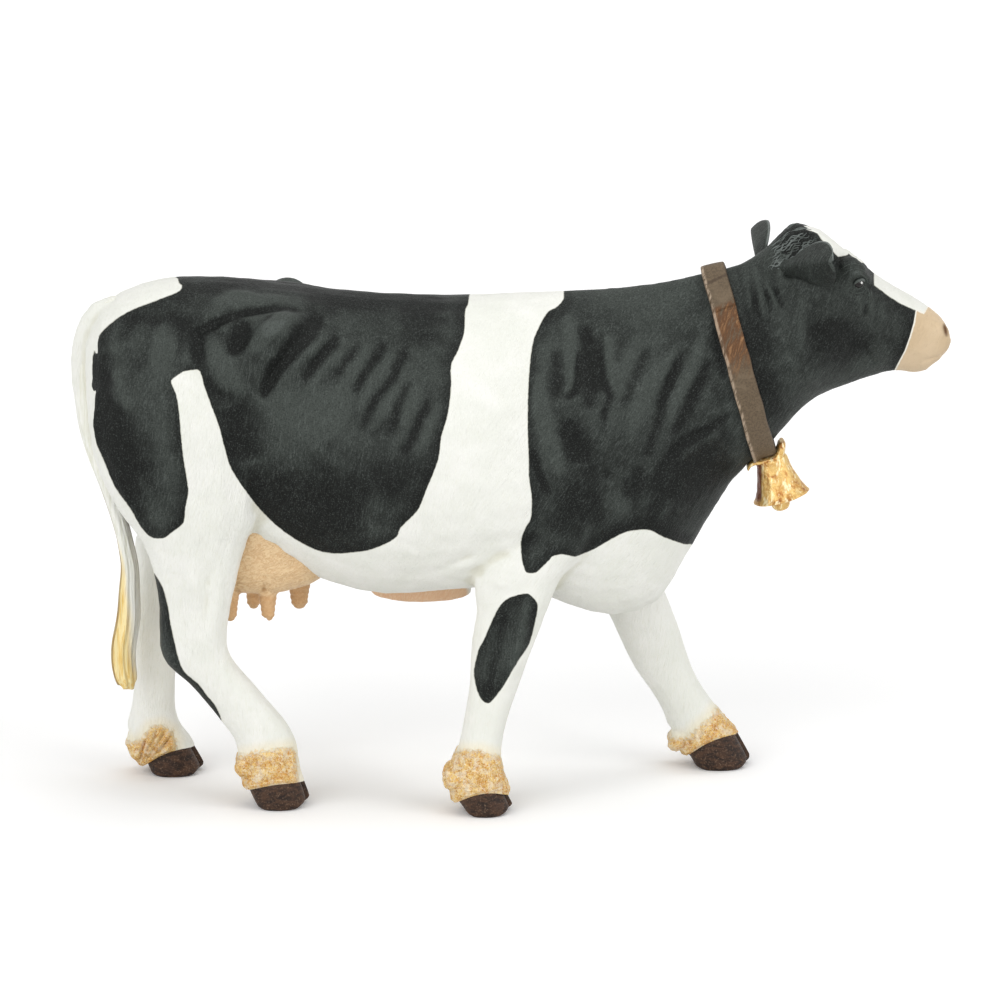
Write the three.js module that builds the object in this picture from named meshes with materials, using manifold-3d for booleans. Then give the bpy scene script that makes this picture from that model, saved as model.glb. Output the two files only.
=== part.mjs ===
// A small moulded figure of a walking dairy cow with a collar and a bell.
// The form is lofted whole and then parted where such a figure is parted: at the neck under the
// collar, across the four legs, and at the ears, the udder and the tail. Each loose piece plugs in.
// The nose points to +X, the cow's left is +Y and the four soles stand on the plane z = 0.
import * as THREE from "three";
import { mergeVertices } from "three/addons/utils/BufferGeometryUtils.js";
import Module from "manifold-3d";

const wasm = await Module();
wasm.setup();

const UP = new THREE.Vector3(0, 0, 1);
const LEFT = new THREE.Vector3(0, 1, 0);

// Driving dimensions of the trunk and neck, in millimetres
const TRUNK_LENGTH = 100;
const WITHERS_HEIGHT = 80;
const BARREL_WIDTH = 36;

// The head, from the collar to the end of the nose
const HEAD_REACH = 36;
const HEAD_HEIGHT = 35;
const HEAD_WIDTH = 13;

// The legs: thickness fore and aft, thickness across, and the spread between the hooves
const LEG_DEPTH = 9;
const LEG_WIDTH = 7;
const HAUNCH_DEPTH = 27;
const SHOULDER_DEPTH = 16;
const HAUNCH_WIDTH = 14;
const SHOULDER_WIDTH = 10;

// The hooves and dewclaws
const HOOF_LENGTH = 9.4;
const HOOF_WIDTH = 7.6;
const HOOF_HEEL_HEIGHT = 2.4;
const HOOF_TOE_HEIGHT = 4.6;
const CLEFT_WIDTH = 0.7;
const CLEFT_DEPTH = 3.4;
const CLEFT_HEIGHT = 3.6;
const DEWCLAW_DIAMETER = 2.2;
const DEWCLAW_SPACING = 3.4;

// The joints between pieces
const FORE_JOINT_HEIGHT = 31;
const HIND_JOINT_HEIGHT = 38;
const PEG_DIAMETER = 4;
const PEG_LENGTH = 5;
const NECK_PEG_DIAMETER = 7;
const NECK_PEG_LENGTH = 6;
const CLEARANCE = 0.3;
const PEG_SIDES = 6;

// The collar and the bell
const COLLAR_WIDTH = 3.8;
const COLLAR_THICKNESS = 0.8;
const COLLAR_LAP_THICKNESS = 0.3;
const COLLAR_LAP_REACH = 6;
const BELL_HEIGHT = 5.6;
const BELL_RIM_DIAMETER = 8.6;
const BELL_DROP = 2.3;
const BELL_LEAD = 0.8;
const HANGER_LIP = 0.7;
const HANGER_WIDTH = 3.4;
const HANGER_RISE = 2.4;
const CLAPPER_DIAMETER = 3;
const CLAPPER_STEM_DIAMETER = 1;

// The ears, the tail and the udder
const EAR_LENGTH = 12;
const EAR_WIDTH = 6.6;
const EAR_THICKNESS = 1.5;
const EAR_CUP = 1.3;
const TAIL_THICKNESS = 3.2;
const TAIL_WIDTH = 3.4;
const UDDER_LENGTH = 20;
const UDDER_WIDTH = 14.6;
const UDDER_TOP_HEIGHT = 46;
const UDDER_BOTTOM_HEIGHT = 32.2;
const TEAT_LENGTH = 4.2;
const TEAT_DIAMETER = 2.4;
const TEAT_SPREAD = 7.4;
const TEAT_SPACING = 7;
const NAVEL_LENGTH = 16;
const NAVEL_DROP = 2;
const NAVEL_WIDTH = 3;

// How far a cutting body runs past what it cuts
const OVERRUN = 120;

// How square a ring of a leg is: 2 draws an ellipse, and more draws a squarer outline
const LEG_SQUARENESS = 2.3;

// How finely the forms are drawn
const TRUNK_SIDES = 36;
const LEG_SIDES = 16;
const SMALL_SIDES = 10;
const ROUND_SIDES = 20;

// How far apart the fore and the hind legs stand
const foreStanceShare = 0.695;
const hindStanceShare = 0.5;
const FORE_STANCE = BARREL_WIDTH * foreStanceShare;
const HIND_STANCE = BARREL_WIDTH * hindStanceShare;

// Where the trunk's rings lie. Each row holds the top point (along, up) and the underside point
// (along, up) in shares of the trunk's length and of the withers' height, the half width in shares
// of half the barrel, the height of the widest place in shares of the ring, and how square the
// ring is above and below that place. Along is measured from the middle of the figure.
const trunkShares = [
  [-0.656, 0.9, -0.652, 0.72, 0.34, 0.5, 2, 2],
  [-0.632, 0.96, -0.625, 0.615, 0.57, 0.58, 2, 2],
  [-0.57, 1.004, -0.565, 0.55, 0.67, 0.62, 2, 2],
  [-0.51, 1.016, -0.505, 0.525, 0.74, 0.62, 1.9, 2],
  [-0.45, 1.016, -0.445, 0.5, 0.8, 0.62, 1.9, 2],
  [-0.38, 1.007, -0.38, 0.47, 0.84, 0.6, 2.1, 2],
  [-0.33, 1.0, -0.33, 0.445, 0.85, 0.55, 2.1, 2],
  [-0.28, 0.992, -0.28, 0.42, 0.88, 0.5, 2, 2.1],
  [-0.2, 0.985, -0.2, 0.4, 0.95, 0.46, 1.9, 2.2],
  [-0.1, 0.981, -0.1, 0.41, 1, 0.44, 1.9, 2.2],
  [0, 0.986, 0, 0.413, 0.93, 0.44, 1.8, 2.1],
  [0.08, 0.991, 0.08, 0.376, 0.8, 0.46, 1.7, 2],
  [0.14, 0.995, 0.15, 0.353, 0.7, 0.48, 1.7, 2],
  [0.19, 1.001, 0.22, 0.38, 0.62, 0.48, 1.7, 2],
  [0.23, 1.009, 0.262, 0.468, 0.53, 0.48, 1.7, 2],
  [0.283, 1.024, 0.332, 0.616, 0.41, 0.45, 1.7, 2],
];

// Where the rings of the upper neck and head lie, in the same columns: along in shares of the
// head's reach from the middle of the collar, up in shares of the head's height over the throat,
// widths in shares of half the head. Two more columns give how far the ring lies to the cow's
// left, in shares of the reach, and how far it is turned to the left, in shares of a right angle.
const headShares = [
  [-0.11, 0.806, 0.11, 0, 1.12, 0.46, 1.7, 2, 0, 0],
  [0.001, 0.829, 0.188, 0.089, 1.07, 0.48, 1.8, 2, 0.017, 0.044],
  [0.096, 0.889, 0.265, 0.177, 1.05, 0.52, 1.8, 2, 0.033, 0.089],
  [0.16, 0.943, 0.34, 0.229, 1.05, 0.58, 1.9, 1.9, 0.05, 0.133],
  [0.226, 1, 0.426, 0.26, 1.03, 0.6, 2.1, 1.8, 0.067, 0.156],
  [0.299, 0.991, 0.499, 0.283, 1, 0.62, 2.4, 1.8, 0.083, 0.167],
  [0.363, 0.957, 0.554, 0.3, 1, 0.64, 2.8, 1.8, 0.1, 0.167],
  [0.451, 0.869, 0.604, 0.311, 1, 0.64, 3, 1.8, 0.122, 0.167],
  [0.521, 0.809, 0.649, 0.32, 0.93, 0.62, 2.8, 1.8, 0.139, 0.167],
  [0.618, 0.734, 0.701, 0.32, 0.78, 0.6, 2.4, 1.9, 0.156, 0.167],
  [0.715, 0.669, 0.751, 0.311, 0.7, 0.56, 2.3, 2, 0.175, 0.167],
  [0.79, 0.618, 0.799, 0.32, 0.7, 0.52, 2.3, 2.2, 0.194, 0.167],
  [0.858, 0.558, 0.848, 0.345, 0.64, 0.52, 2.3, 2.3, 0.208, 0.167],
  [0.89, 0.505, 0.882, 0.385, 0.5, 0.52, 2.2, 2.2, 0.217, 0.167],
];

// The legs from the body down to the pastern. Each row holds the height in shares of the withers'
// height, the place of the leg's middle along the trunk, its depth and width in shares of the
// leg's own, and its middle across in shares of half the stance.
const hindTopShares = [
  [0.945, -0.5, 0.6, 0.5, 0.72],
  [0.86, -0.51, 0.9, 0.78, 0.88],
  [0.76, -0.511, 1.03, 1, 0.95],
  [0.66, -0.503, 0.97, 0.96, 0.98],
  [0.58, -0.494, 0.8, 0.86, 1],
  [0.53, -0.49, 0.6, 0.76, 1.02],
];
const rightHindShares = [
  [0.475, -0.488, 1.5, 1.37, 1.04],
  [0.425, -0.489, 1.3, 1.23, 1.05],
  [0.37, -0.492, 1.17, 1.1, 1.06],
  [0.32, -0.493, 1.15, 1.03, 1.06],
  [0.285, -0.482, 1.16, 0.98, 1.05],
  [0.25, -0.455, 1.08, 0.93, 1.04],
  [0.21, -0.428, 1.06, 0.9, 1.03],
  [0.175, -0.406, 1.08, 0.9, 1.02],
  [0.135, -0.386, 1.04, 0.95, 1.01],
  [0.105, -0.381, 1.04, 1.02, 1],
  [0.08, -0.377, 1, 1.06, 1],
];
const leftHindShares = [
  [0.475, -0.527, 1.45, 1.37, 1.04],
  [0.425, -0.54, 1.22, 1.23, 1.05],
  [0.37, -0.551, 1.12, 1.1, 1.06],
  [0.32, -0.561, 1.08, 1.03, 1.06],
  [0.285, -0.562, 1.0, 0.98, 1.05],
  [0.25, -0.563, 0.86, 0.93, 1.04],
  [0.21, -0.565, 0.74, 0.9, 1.03],
  [0.165, -0.566, 0.72, 0.9, 1.02],
  [0.125, -0.568, 0.79, 0.95, 1.01],
  [0.095, -0.567, 0.94, 1.02, 1],
  [0.072, -0.556, 1.02, 1.06, 1],
];
const foreTopShares = [
  [0.9, 0.1, 0.62, 0.55, 0.42],
  [0.82, 0.095, 0.85, 0.8, 0.55],
  [0.72, 0.085, 1.05, 0.95, 0.66],
  [0.62, 0.06, 1.15, 1.02, 0.73],
  [0.53, 0.035, 1.1, 1, 0.78],
];
const rightForeShares = [
  [0.46, 0.003, 1.5, 1.3, 0.83],
  [0.4, -0.004, 1.22, 1.2, 0.87],
  [0.345, -0.016, 1.1, 1.12, 0.9],
  [0.3, -0.024, 0.98, 1.05, 0.93],
  [0.255, -0.031, 0.85, 0.95, 0.95],
  [0.205, -0.041, 0.76, 0.88, 0.97],
  [0.155, -0.05, 0.72, 0.88, 0.98],
  [0.115, -0.056, 0.77, 0.96, 0.99],
  [0.085, -0.06, 0.88, 1.04, 1],
  [0.067, -0.058, 0.93, 1.06, 1],
];
const leftForeShares = [
  [0.46, 0.144, 1.42, 1.3, 0.83],
  [0.4, 0.166, 1.28, 1.2, 0.87],
  [0.345, 0.187, 1.19, 1.12, 0.9],
  [0.3, 0.203, 1.13, 1.05, 0.93],
  [0.255, 0.217, 1.08, 0.95, 0.95],
  [0.205, 0.233, 1.01, 0.88, 0.97],
  [0.155, 0.257, 0.93, 0.88, 0.98],
  [0.115, 0.277, 0.98, 0.96, 0.99],
  [0.085, 0.29, 1.08, 1.04, 1],
  [0.067, 0.305, 1.1, 1.06, 1],
];

// The soles' middles along the trunk
const rightHindSoleShare = -0.36;
const leftHindSoleShare = -0.537;
const rightForeSoleShare = -0.046;
const leftForeSoleShare = 0.332;

// The tail from its root to the end of its switch: along, up, thickness and width
const tailShares = [
  [-0.575, 0.945, 0.9, 0.9],
  [-0.62, 0.96, 1, 1],
  [-0.65, 0.93, 1, 1],
  [-0.663, 0.88, 0.95, 0.95],
  [-0.6665, 0.81, 0.85, 0.9],
  [-0.659, 0.735, 0.78, 0.85],
  [-0.644, 0.665, 0.75, 0.8],
  [-0.625, 0.6, 0.72, 0.75],
  [-0.611, 0.545, 0.7, 0.72],
  [-0.601, 0.49, 0.7, 0.72],
  [-0.594, 0.44, 0.78, 0.8],
  [-0.597, 0.38, 0.95, 1],
  [-0.603, 0.3, 1.05, 1.1],
  [-0.606, 0.225, 0.8, 0.85],
  [-0.606, 0.205, 0.4, 0.45],
];

// The udder from its seat in the belly down: height, middle along in shares of the udder's
// length from its centre, length and width
const udderShares = [
  [1, -0.12, 0.74, 1.08],
  [0.78, -0.09, 0.9, 1.14],
  [0.46, -0.02, 0.98, 1.04],
  [0.2, 0.0, 0.86, 0.95],
  [0.06, -0.02, 0.64, 0.72],
  [0, -0.03, 0.36, 0.42],
];
const udderCentreShare = -0.39;

// The ear from its root to its tip: place along it, width, thickness and depth of the cup
const earShares = [
  [0, 0.36, 0.9, 0.1],
  [0.16, 0.5, 0.95, 0.4],
  [0.34, 0.82, 0.95, 0.8],
  [0.54, 1, 0.9, 1],
  [0.74, 0.92, 0.75, 1],
  [0.9, 0.62, 0.6, 0.6],
  [1, 0.2, 0.35, 0.1],
];
// Where each ear is rooted, in shares of the head's reach, width and height, and which way it
// points: forward, out and up
const rightEarRootShares = [0.188, -0.23, 0.83];
const leftEarRootShares = [0.1, 0.46, 0.79];
const rightEarAimShares = [0.55, -0.8, 0.24];
const leftEarAimShares = [-0.08, 0.95, 0.28];

// Rows of numbers drawn smooth through the given ones, with so many steps from one to the next
function smoothRows(rows, steps) {
  const size = rows[0].length;
  const places = rows.map((row, i) => i);
  const curve = new THREE.CubicInterpolant(places, rows.flat(), size);
  const made = [];
  for (let i = 0; i <= (rows.length - 1) * steps; i++) {
    made.push(Array.from(curve.evaluate(i / steps)));
  }
  return made;
}

function centreOf(ring) {
  const sum = ring.reduce((total, point) => total.add(point), new THREE.Vector3());
  return sum.divideScalar(ring.length);
}

// A closed form through rings that have equally many points each, with a flat fan at each end
function loft(rings) {
  const count = rings[0].length;
  const points = rings.flat();
  const faces = [];
  for (let r = 0; r + 1 < rings.length; r++) {
    for (let i = 0; i < count; i++) {
      const a = r * count + i;
      const b = r * count + ((i + 1) % count);
      faces.push(a, b, a + count, b, b + count, a + count);
    }
  }
  points.push(centreOf(rings[0]), centreOf(rings.at(-1)));
  const last = (rings.length - 1) * count;
  for (let i = 0; i < count; i++) {
    const j = (i + 1) % count;
    faces.push(points.length - 2, j, i);
    faces.push(points.length - 1, last + i, last + j);
  }
  const geometry = new THREE.BufferGeometry().setFromPoints(points);
  geometry.setIndex(faces);
  return geometry;
}

// The volume inside a geometry, below zero where its faces look inwards
function signedVolume(geometry) {
  const at = geometry.getAttribute("position");
  const index = geometry.getIndex().array;
  const [a, b, c] = [new THREE.Vector3(), new THREE.Vector3(), new THREE.Vector3()];
  let sum = 0;
  for (let i = 0; i < index.length; i += 3) {
    a.fromBufferAttribute(at, index[i]);
    b.fromBufferAttribute(at, index[i + 1]);
    c.fromBufferAttribute(at, index[i + 2]);
    sum += a.dot(b.cross(c));
  }
  return sum / 6;
}

// A geometry as a solid that can be joined and cut
function solid(geometry) {
  const bare = geometry.clone();
  bare.deleteAttribute("normal");
  bare.deleteAttribute("uv");
  const merged = mergeVertices(bare);
  const triVerts = new Uint32Array(merged.getIndex().array);
  if (signedVolume(merged) < 0) triVerts.reverse();
  const vertProperties = new Float32Array(merged.getAttribute("position").array);
  return new wasm.Manifold(new wasm.Mesh({ numProp: 3, vertProperties, triVerts }));
}

// A solid as a geometry again
function geometryOf(made) {
  const mesh = made.getMesh();
  const geometry = new THREE.BufferGeometry();
  geometry.setAttribute("position", new THREE.BufferAttribute(mesh.vertProperties, 3));
  geometry.setIndex(new THREE.BufferAttribute(mesh.triVerts, 1));
  return geometry;
}

// A ring of a rounded, more or less square outline: sideways and upward shares for each corner
function ringShares(sides, roof, keel) {
  return Array.from({ length: sides }, (_, i) => {
    const angle = (2 * Math.PI * i) / sides;
    const [c, s] = [Math.cos(angle), Math.sin(angle)];
    const power = 2 / (s > 0 ? roof : keel);
    return [Math.sign(c) * Math.abs(c) ** power, Math.sign(s) * Math.abs(s) ** power];
  });
}

// Bones and hollows under the skin, the same on both sides: along and up as on the trunk, across in
// shares of half the barrel, and radius and height in shares of the barrel, below zero for hollows
const swellShares = [
  [-0.34, 0.955, 0.84, 0.14, 0.125],
  [-0.6, 0.9, 0.42, 0.14, 0.03],
  [-0.43, 0.82, 0.9, 0.15, -0.03],
  [-0.25, 0.83, 0.9, 0.2, -0.045],
  [-0.33, 0.62, 0.95, 0.2, -0.03],
  [0.12, 0.8, 0.6, 0.22, 0.035],
  [0.02, 0.72, 0.85, 0.17, -0.03],
  [0.25, 0.62, 0.55, 0.17, 0.04],
  [0.26, 0.9, 0.4, 0.18, -0.03],
  [0.5, 1.015, 0.36, 0.085, 0.05],
  [0.455, 0.87, 0.38, 0.15, 0.03],
  [0.525, 0.88, 0.32, 0.1, -0.03],
  [0.63, 0.9, 0.26, 0.1, 0.02],
];

// A point of the left or right side, pushed out or in by the bones and hollows near it
function swollen(point, from) {
  const out = point.clone().sub(from).normalize();
  const side = point.y < 0 ? -1 : 1;
  const moved = point.clone();
  for (const [along, up, across, radius, height] of swellShares) {
    const centre = onTrunk([along, up]);
    centre.y = (side * across * BARREL_WIDTH) / 2;
    const far = point.distanceTo(centre) / (radius * BARREL_WIDTH);
    moved.addScaledVector(out, height * BARREL_WIDTH * Math.exp(-(far ** 2)));
  }
  return moved;
}

// The ring of one row of the trunk, neck or head, grown outwards by so much
function bodyRing(row, grow) {
  const [topX, topZ, underX, underZ, half, waist, roof, keel, side, turn] = row;
  const under = new THREE.Vector3(underX, 0, underZ);
  const rise = new THREE.Vector3(topX, 0, topZ).sub(under);
  const height = rise.length();
  const up = rise.clone().divideScalar(height);
  const middle = new THREE.Vector3((topX + underX) / 2, side, 0);
  return ringShares(TRUNK_SIDES, roof, keel).map(([across, tall]) => {
    const reach = tall > 0 ? height * (1 - waist) + grow : height * waist + grow;
    const inside = under.clone().addScaledVector(up, height * waist + reach * tall);
    inside.y = (half + grow) * across;
    const core = under.clone().addScaledVector(up, height / 2);
    const point = swollen(inside, core);
    point.x -= middle.x;
    point.applyAxisAngle(UP, turn);
    return point.add(middle);
  });
}

// A place in the middle plane from its shares along and up
function onTrunk([along, up]) {
  return new THREE.Vector3(along * TRUNK_LENGTH, 0, up * WITHERS_HEIGHT);
}

// The middle of the collar, at the nape and at the throat, and the slant of the neck's joint
const napeShares = [0.303, 1.031];
const throatShares = [0.382, 0.678];
const nape = onTrunk(napeShares);
const throat = onTrunk(throatShares);
const collarMiddle = nape.clone().lerp(throat, 0.5);
const collarDown = throat.clone().sub(nape).normalize();
const collarForward = new THREE.Vector3(-collarDown.z, 0, collarDown.x);

function trunkRows() {
  return trunkShares.map(([topAlong, topUp, underAlong, underUp, width, waist, roof, keel]) => [
    topAlong * TRUNK_LENGTH,
    topUp * WITHERS_HEIGHT,
    underAlong * TRUNK_LENGTH,
    underUp * WITHERS_HEIGHT,
    (width * BARREL_WIDTH) / 2,
    waist,
    roof,
    keel,
    0,
    0,
  ]);
}

const headStartX = collarMiddle.x;
function headRows() {
  return headShares.map(([topAlong, topUp, underAlong, underUp, width, ...rest]) => {
    const [waist, roof, keel, side, turn] = rest;
    return [
      headStartX + topAlong * HEAD_REACH,
      throat.z + topUp * HEAD_HEIGHT,
      headStartX + underAlong * HEAD_REACH,
      throat.z + underUp * HEAD_HEIGHT,
      (width * HEAD_WIDTH) / 2,
      waist,
      roof,
      keel,
      side * HEAD_REACH,
      (turn * Math.PI) / 2,
    ];
  });
}

// The whole of trunk, neck and head as one form, grown outwards by so much
function bodyForm(grow) {
  const rows = smoothRows([...trunkRows(), ...headRows()], 2);
  return solid(loft(rows.map((row) => bodyRing(row, grow))));
}

// A ring of a leg lying level, from its height, middle and halves
function levelRing(row, grow, sides) {
  const [height, x, y, halfDepth, halfWidth] = row;
  return ringShares(sides, LEG_SQUARENESS, LEG_SQUARENESS).map(([fore, across]) => {
    const [deep, wide] = [(halfDepth + grow) * fore, (halfWidth + grow) * across];
    return new THREE.Vector3(x + deep, y + wide, height);
  });
}

// The rows of one leg in millimetres: the part inside the body first, then down to the pastern
function legRows(leg) {
  const stance = (leg.side * leg.stance) / 2;
  const row = (depth, width) => ([up, along, depthShare, widthShare, across]) => [
    up * WITHERS_HEIGHT,
    along * TRUNK_LENGTH,
    across * stance,
    (depthShare * depth) / 2,
    (widthShare * width) / 2,
  ];
  const inside = leg.top.map(row(leg.topDepth, leg.topWidth));
  return [...inside, ...leg.shares.map(row(LEG_DEPTH, LEG_WIDTH))];
}

// How far the horn's upper edge leans from the pastern to the sole's middle, how much smaller the
// sole is than the wall over it, and how high the wall is widest
const coronetShare = 0.33;
const soleShare = 0.93;
const wallShare = 0.33;

// The rings of a hoof, from the slanted line where its horn begins down to the sole
function hoofRings(leg, grow) {
  const rows = legRows(leg);
  const [, pasternX, , pasternDepth] = rows.at(-1);
  const soleX = leg.sole * TRUNK_LENGTH;
  const y = (leg.side * leg.stance) / 2;
  const topX = pasternX + (soleX - pasternX) * coronetShare;
  const [halfLength, halfWidth] = [HOOF_LENGTH / 2, HOOF_WIDTH / 2];
  const top = levelRing([0, topX, y, pasternDepth, halfWidth * soleShare], grow, LEG_SIDES);
  const slope = (HOOF_TOE_HEIGHT - HOOF_HEEL_HEIGHT) / (2 * pasternDepth);
  top.forEach((point) => {
    point.z = HOOF_HEEL_HEIGHT + slope * (point.x - topX + pasternDepth);
  });
  const wall = [HOOF_HEEL_HEIGHT * wallShare, soleX, y, halfLength, halfWidth];
  const sole = [0, soleX, y, halfLength * soleShare, halfWidth * soleShare];
  return [top, levelRing(wall, grow, LEG_SIDES), levelRing(sole, grow, LEG_SIDES)];
}

function legForm(leg, grow) {
  const rings = smoothRows(legRows(leg), 2).map((row) => levelRing(row, grow, LEG_SIDES));
  return solid(loft([...rings, ...hoofRings(leg, grow)]));
}

const legs = [
  {
    name: "front_right_leg",
    side: -1,
    stance: FORE_STANCE,
    top: foreTopShares,
    topDepth: SHOULDER_DEPTH,
    topWidth: SHOULDER_WIDTH,
    shares: rightForeShares,
    sole: rightForeSoleShare,
    joint: FORE_JOINT_HEIGHT,
  },
  {
    name: "front_left_leg",
    side: 1,
    stance: FORE_STANCE,
    top: foreTopShares,
    topDepth: SHOULDER_DEPTH,
    topWidth: SHOULDER_WIDTH,
    shares: leftForeShares,
    sole: leftForeSoleShare,
    joint: FORE_JOINT_HEIGHT,
  },
  {
    name: "hind_right_leg",
    side: -1,
    stance: HIND_STANCE,
    top: hindTopShares,
    topDepth: HAUNCH_DEPTH,
    topWidth: HAUNCH_WIDTH,
    shares: rightHindShares,
    sole: rightHindSoleShare,
    joint: HIND_JOINT_HEIGHT,
  },
  {
    name: "hind_left_leg",
    side: 1,
    stance: HIND_STANCE,
    top: hindTopShares,
    topDepth: HAUNCH_DEPTH,
    topWidth: HAUNCH_WIDTH,
    shares: leftHindShares,
    sole: leftHindSoleShare,
    joint: HIND_JOINT_HEIGHT,
  },
];

// A block whose lower face lies at a height
function blockAbove(height) {
  const block = new THREE.BoxGeometry(2 * OVERRUN, 2 * OVERRUN, 2 * OVERRUN);
  return solid(block.translate(0, 0, height + OVERRUN));
}

// The middle of a leg at the height of its joint
function jointMiddle(leg) {
  const rows = smoothRows(legRows(leg), 8);
  const row = rows.find(([height]) => height <= leg.joint);
  return new THREE.Vector3(row[1], row[2], leg.joint);
}

// The peg on top of a leg, or the socket that it sits in
function legPeg(leg, clearance) {
  const radius = PEG_DIAMETER / 2 + clearance;
  const length = 2 * (PEG_LENGTH + clearance);
  const peg = new THREE.CylinderGeometry(radius, radius, length, PEG_SIDES);
  return solid(peg.rotateX(Math.PI / 2).translate(...jointMiddle(leg).toArray()));
}

// The two dewclaws behind the pastern, and how deep they are set in it
const dewclawShare = 0.12;
function dewclaws(leg) {
  const [height, x, y, halfDepth] = legRows(leg).at(-1);
  const back = x - halfDepth + DEWCLAW_DIAMETER * dewclawShare;
  return [-1, 1].map((side) => {
    const claw = new THREE.SphereGeometry(DEWCLAW_DIAMETER / 2, SMALL_SIDES, SMALL_SIDES / 2);
    return solid(claw.translate(back, y + (side * DEWCLAW_SPACING) / 2, height));
  });
}

// The cleft that parts the two claws of a hoof
function cleft(leg) {
  const toe = leg.sole * TRUNK_LENGTH + HOOF_LENGTH / 2;
  const block = new THREE.BoxGeometry(2 * CLEFT_DEPTH, CLEFT_WIDTH, 2 * CLEFT_HEIGHT);
  return solid(block.translate(toe, (leg.side * leg.stance) / 2, 0));
}

function legPiece(leg) {
  let piece = legForm(leg, 0).subtract(blockAbove(leg.joint));
  for (const claw of dewclaws(leg)) piece = piece.add(claw);
  piece = piece.subtract(cleft(leg));
  return piece.add(legPeg(leg, 0));
}

// A form swept along a path of rows: place along and up, thickness and width
function tailForm(grow) {
  const rows = smoothRows(tailShares, 2).map(([along, up, thickness, width]) => [
    onTrunk([along, up]),
    (thickness * TAIL_THICKNESS) / 2 + grow,
    (width * TAIL_WIDTH) / 2 + grow,
  ]);
  const rings = rows.map(([middle, halfThickness, halfWidth], i) => {
    const before = rows[Math.max(i - 1, 0)][0];
    const after = rows[Math.min(i + 1, rows.length - 1)][0];
    const out = LEFT.clone().cross(after.clone().sub(before).normalize());
    return ringShares(SMALL_SIDES, 2, 2).map(([across, tall]) => {
      const point = middle.clone().addScaledVector(LEFT, halfWidth * across);
      return point.addScaledVector(out, halfThickness * tall);
    });
  });
  return solid(loft(rings));
}

function udderForm(grow) {
  const drop = UDDER_TOP_HEIGHT - UDDER_BOTTOM_HEIGHT;
  const rows = smoothRows(udderShares, 2).map(([up, along, length, width]) => [
    UDDER_BOTTOM_HEIGHT + up * drop + (2 * up - 1) * grow,
    udderCentreShare * TRUNK_LENGTH + along * UDDER_LENGTH,
    0,
    (length * UDDER_LENGTH) / 2,
    (width * UDDER_WIDTH) / 2,
  ]);
  return solid(loft(rows.map((row) => levelRing(row, grow, ROUND_SIDES))));
}

// Where the four teats hang, from the udder's centre: along in shares of the teats' spacing and
// across in shares of their spread
const teatShares = [
  [-0.7, -0.5],
  [0.13, -0.5],
  [-0.23, 0.5],
  [0.73, 0.5],
];

// The outline of a teat from its tip up: radius in shares of the teat's radius, height in shares
// of its length from the udder's bottom
const teatOutlineShares = [
  [0, -1],
  [0.5, -0.96],
  [0.85, -0.8],
  [1, -0.4],
  [1.5, 0.5],
  [0, 0.7],
];

// A turned form about the Z axis from its outline in shares of a radius and a height
function turned(shares, radius, height, sides) {
  const outline = shares.map(([out, up]) => new THREE.Vector2(out * radius, up * height));
  return new THREE.LatheGeometry(outline, sides).rotateX(Math.PI / 2);
}

function teat([along, across]) {
  const form = turned(teatOutlineShares, TEAT_DIAMETER / 2, TEAT_LENGTH, SMALL_SIDES);
  const x = udderCentreShare * TRUNK_LENGTH + along * TEAT_SPACING;
  return solid(form.translate(x, across * TEAT_SPREAD, UDDER_BOTTOM_HEIGHT));
}

// An ear as a leaf that is cupped towards the front, with its root inside the head
function earForm(rootShares, aimShares, grow) {
  const root = new THREE.Vector3(
    headStartX + rootShares[0] * HEAD_REACH,
    rootShares[1] * HEAD_WIDTH,
    throat.z + rootShares[2] * HEAD_HEIGHT,
  );
  const aim = new THREE.Vector3(...aimShares).normalize();
  const wide = UP.clone().addScaledVector(aim, -aim.z).normalize();
  const open = aim.clone().cross(wide);
  if (open.x < 0) open.negate();
  const rings = smoothRows(earShares, 2).map(([along, width, thickness, cup]) => {
    const middle = root.clone().addScaledVector(aim, along * EAR_LENGTH);
    const halfWidth = (width * EAR_WIDTH) / 2 + grow;
    const halfThickness = (thickness * EAR_THICKNESS) / 2 + grow;
    return ringShares(SMALL_SIDES, 2, 2).map(([across, tall]) => {
      const lift = cup * EAR_CUP * across ** 2 + halfThickness * tall;
      return middle.clone().addScaledVector(wide, halfWidth * across).addScaledVector(open, lift);
    });
  });
  return solid(loft(rings));
}

// The frame of the neck's joint: X to the front across the strap, Z up along the neck's depth
const collarUp = collarDown.clone().negate();
const collarFrame = new THREE.Matrix4().makeBasis(collarForward, LEFT, collarUp);
collarFrame.setPosition(collarMiddle);

function inCollarFrame(geometry) {
  return solid(geometry.applyMatrix4(collarFrame));
}

// Everything in front of the neck's joint
function frontOfNeck(gap) {
  const block = new THREE.BoxGeometry(2 * OVERRUN, 2 * OVERRUN, 2 * OVERRUN);
  return inCollarFrame(block.translate(OVERRUN + gap, 0, 0));
}

function neckPeg(clearance) {
  const radius = NECK_PEG_DIAMETER / 2 + clearance;
  const length = NECK_PEG_LENGTH + clearance;
  const peg = new THREE.CylinderGeometry(radius, radius, 2 * length, PEG_SIDES);
  return inCollarFrame(peg.rotateZ(Math.PI / 2));
}

// A band round the neck between two planes, so wide and so thick
function neckBand(width, inner, outer) {
  const slab = inCollarFrame(new THREE.BoxGeometry(width, 2 * OVERRUN, 2 * OVERRUN));
  return bodyForm(outer).intersect(slab).subtract(bodyForm(inner));
}

function collarPiece() {
  const outer = CLEARANCE + COLLAR_THICKNESS;
  const lap = neckBand(COLLAR_WIDTH, CLEARANCE, outer + COLLAR_LAP_THICKNESS);
  const lapped = lap.intersect(blockAbove(nape.z - COLLAR_LAP_REACH));
  return neckBand(COLLAR_WIDTH, CLEARANCE, outer).add(lapped);
}

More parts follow.
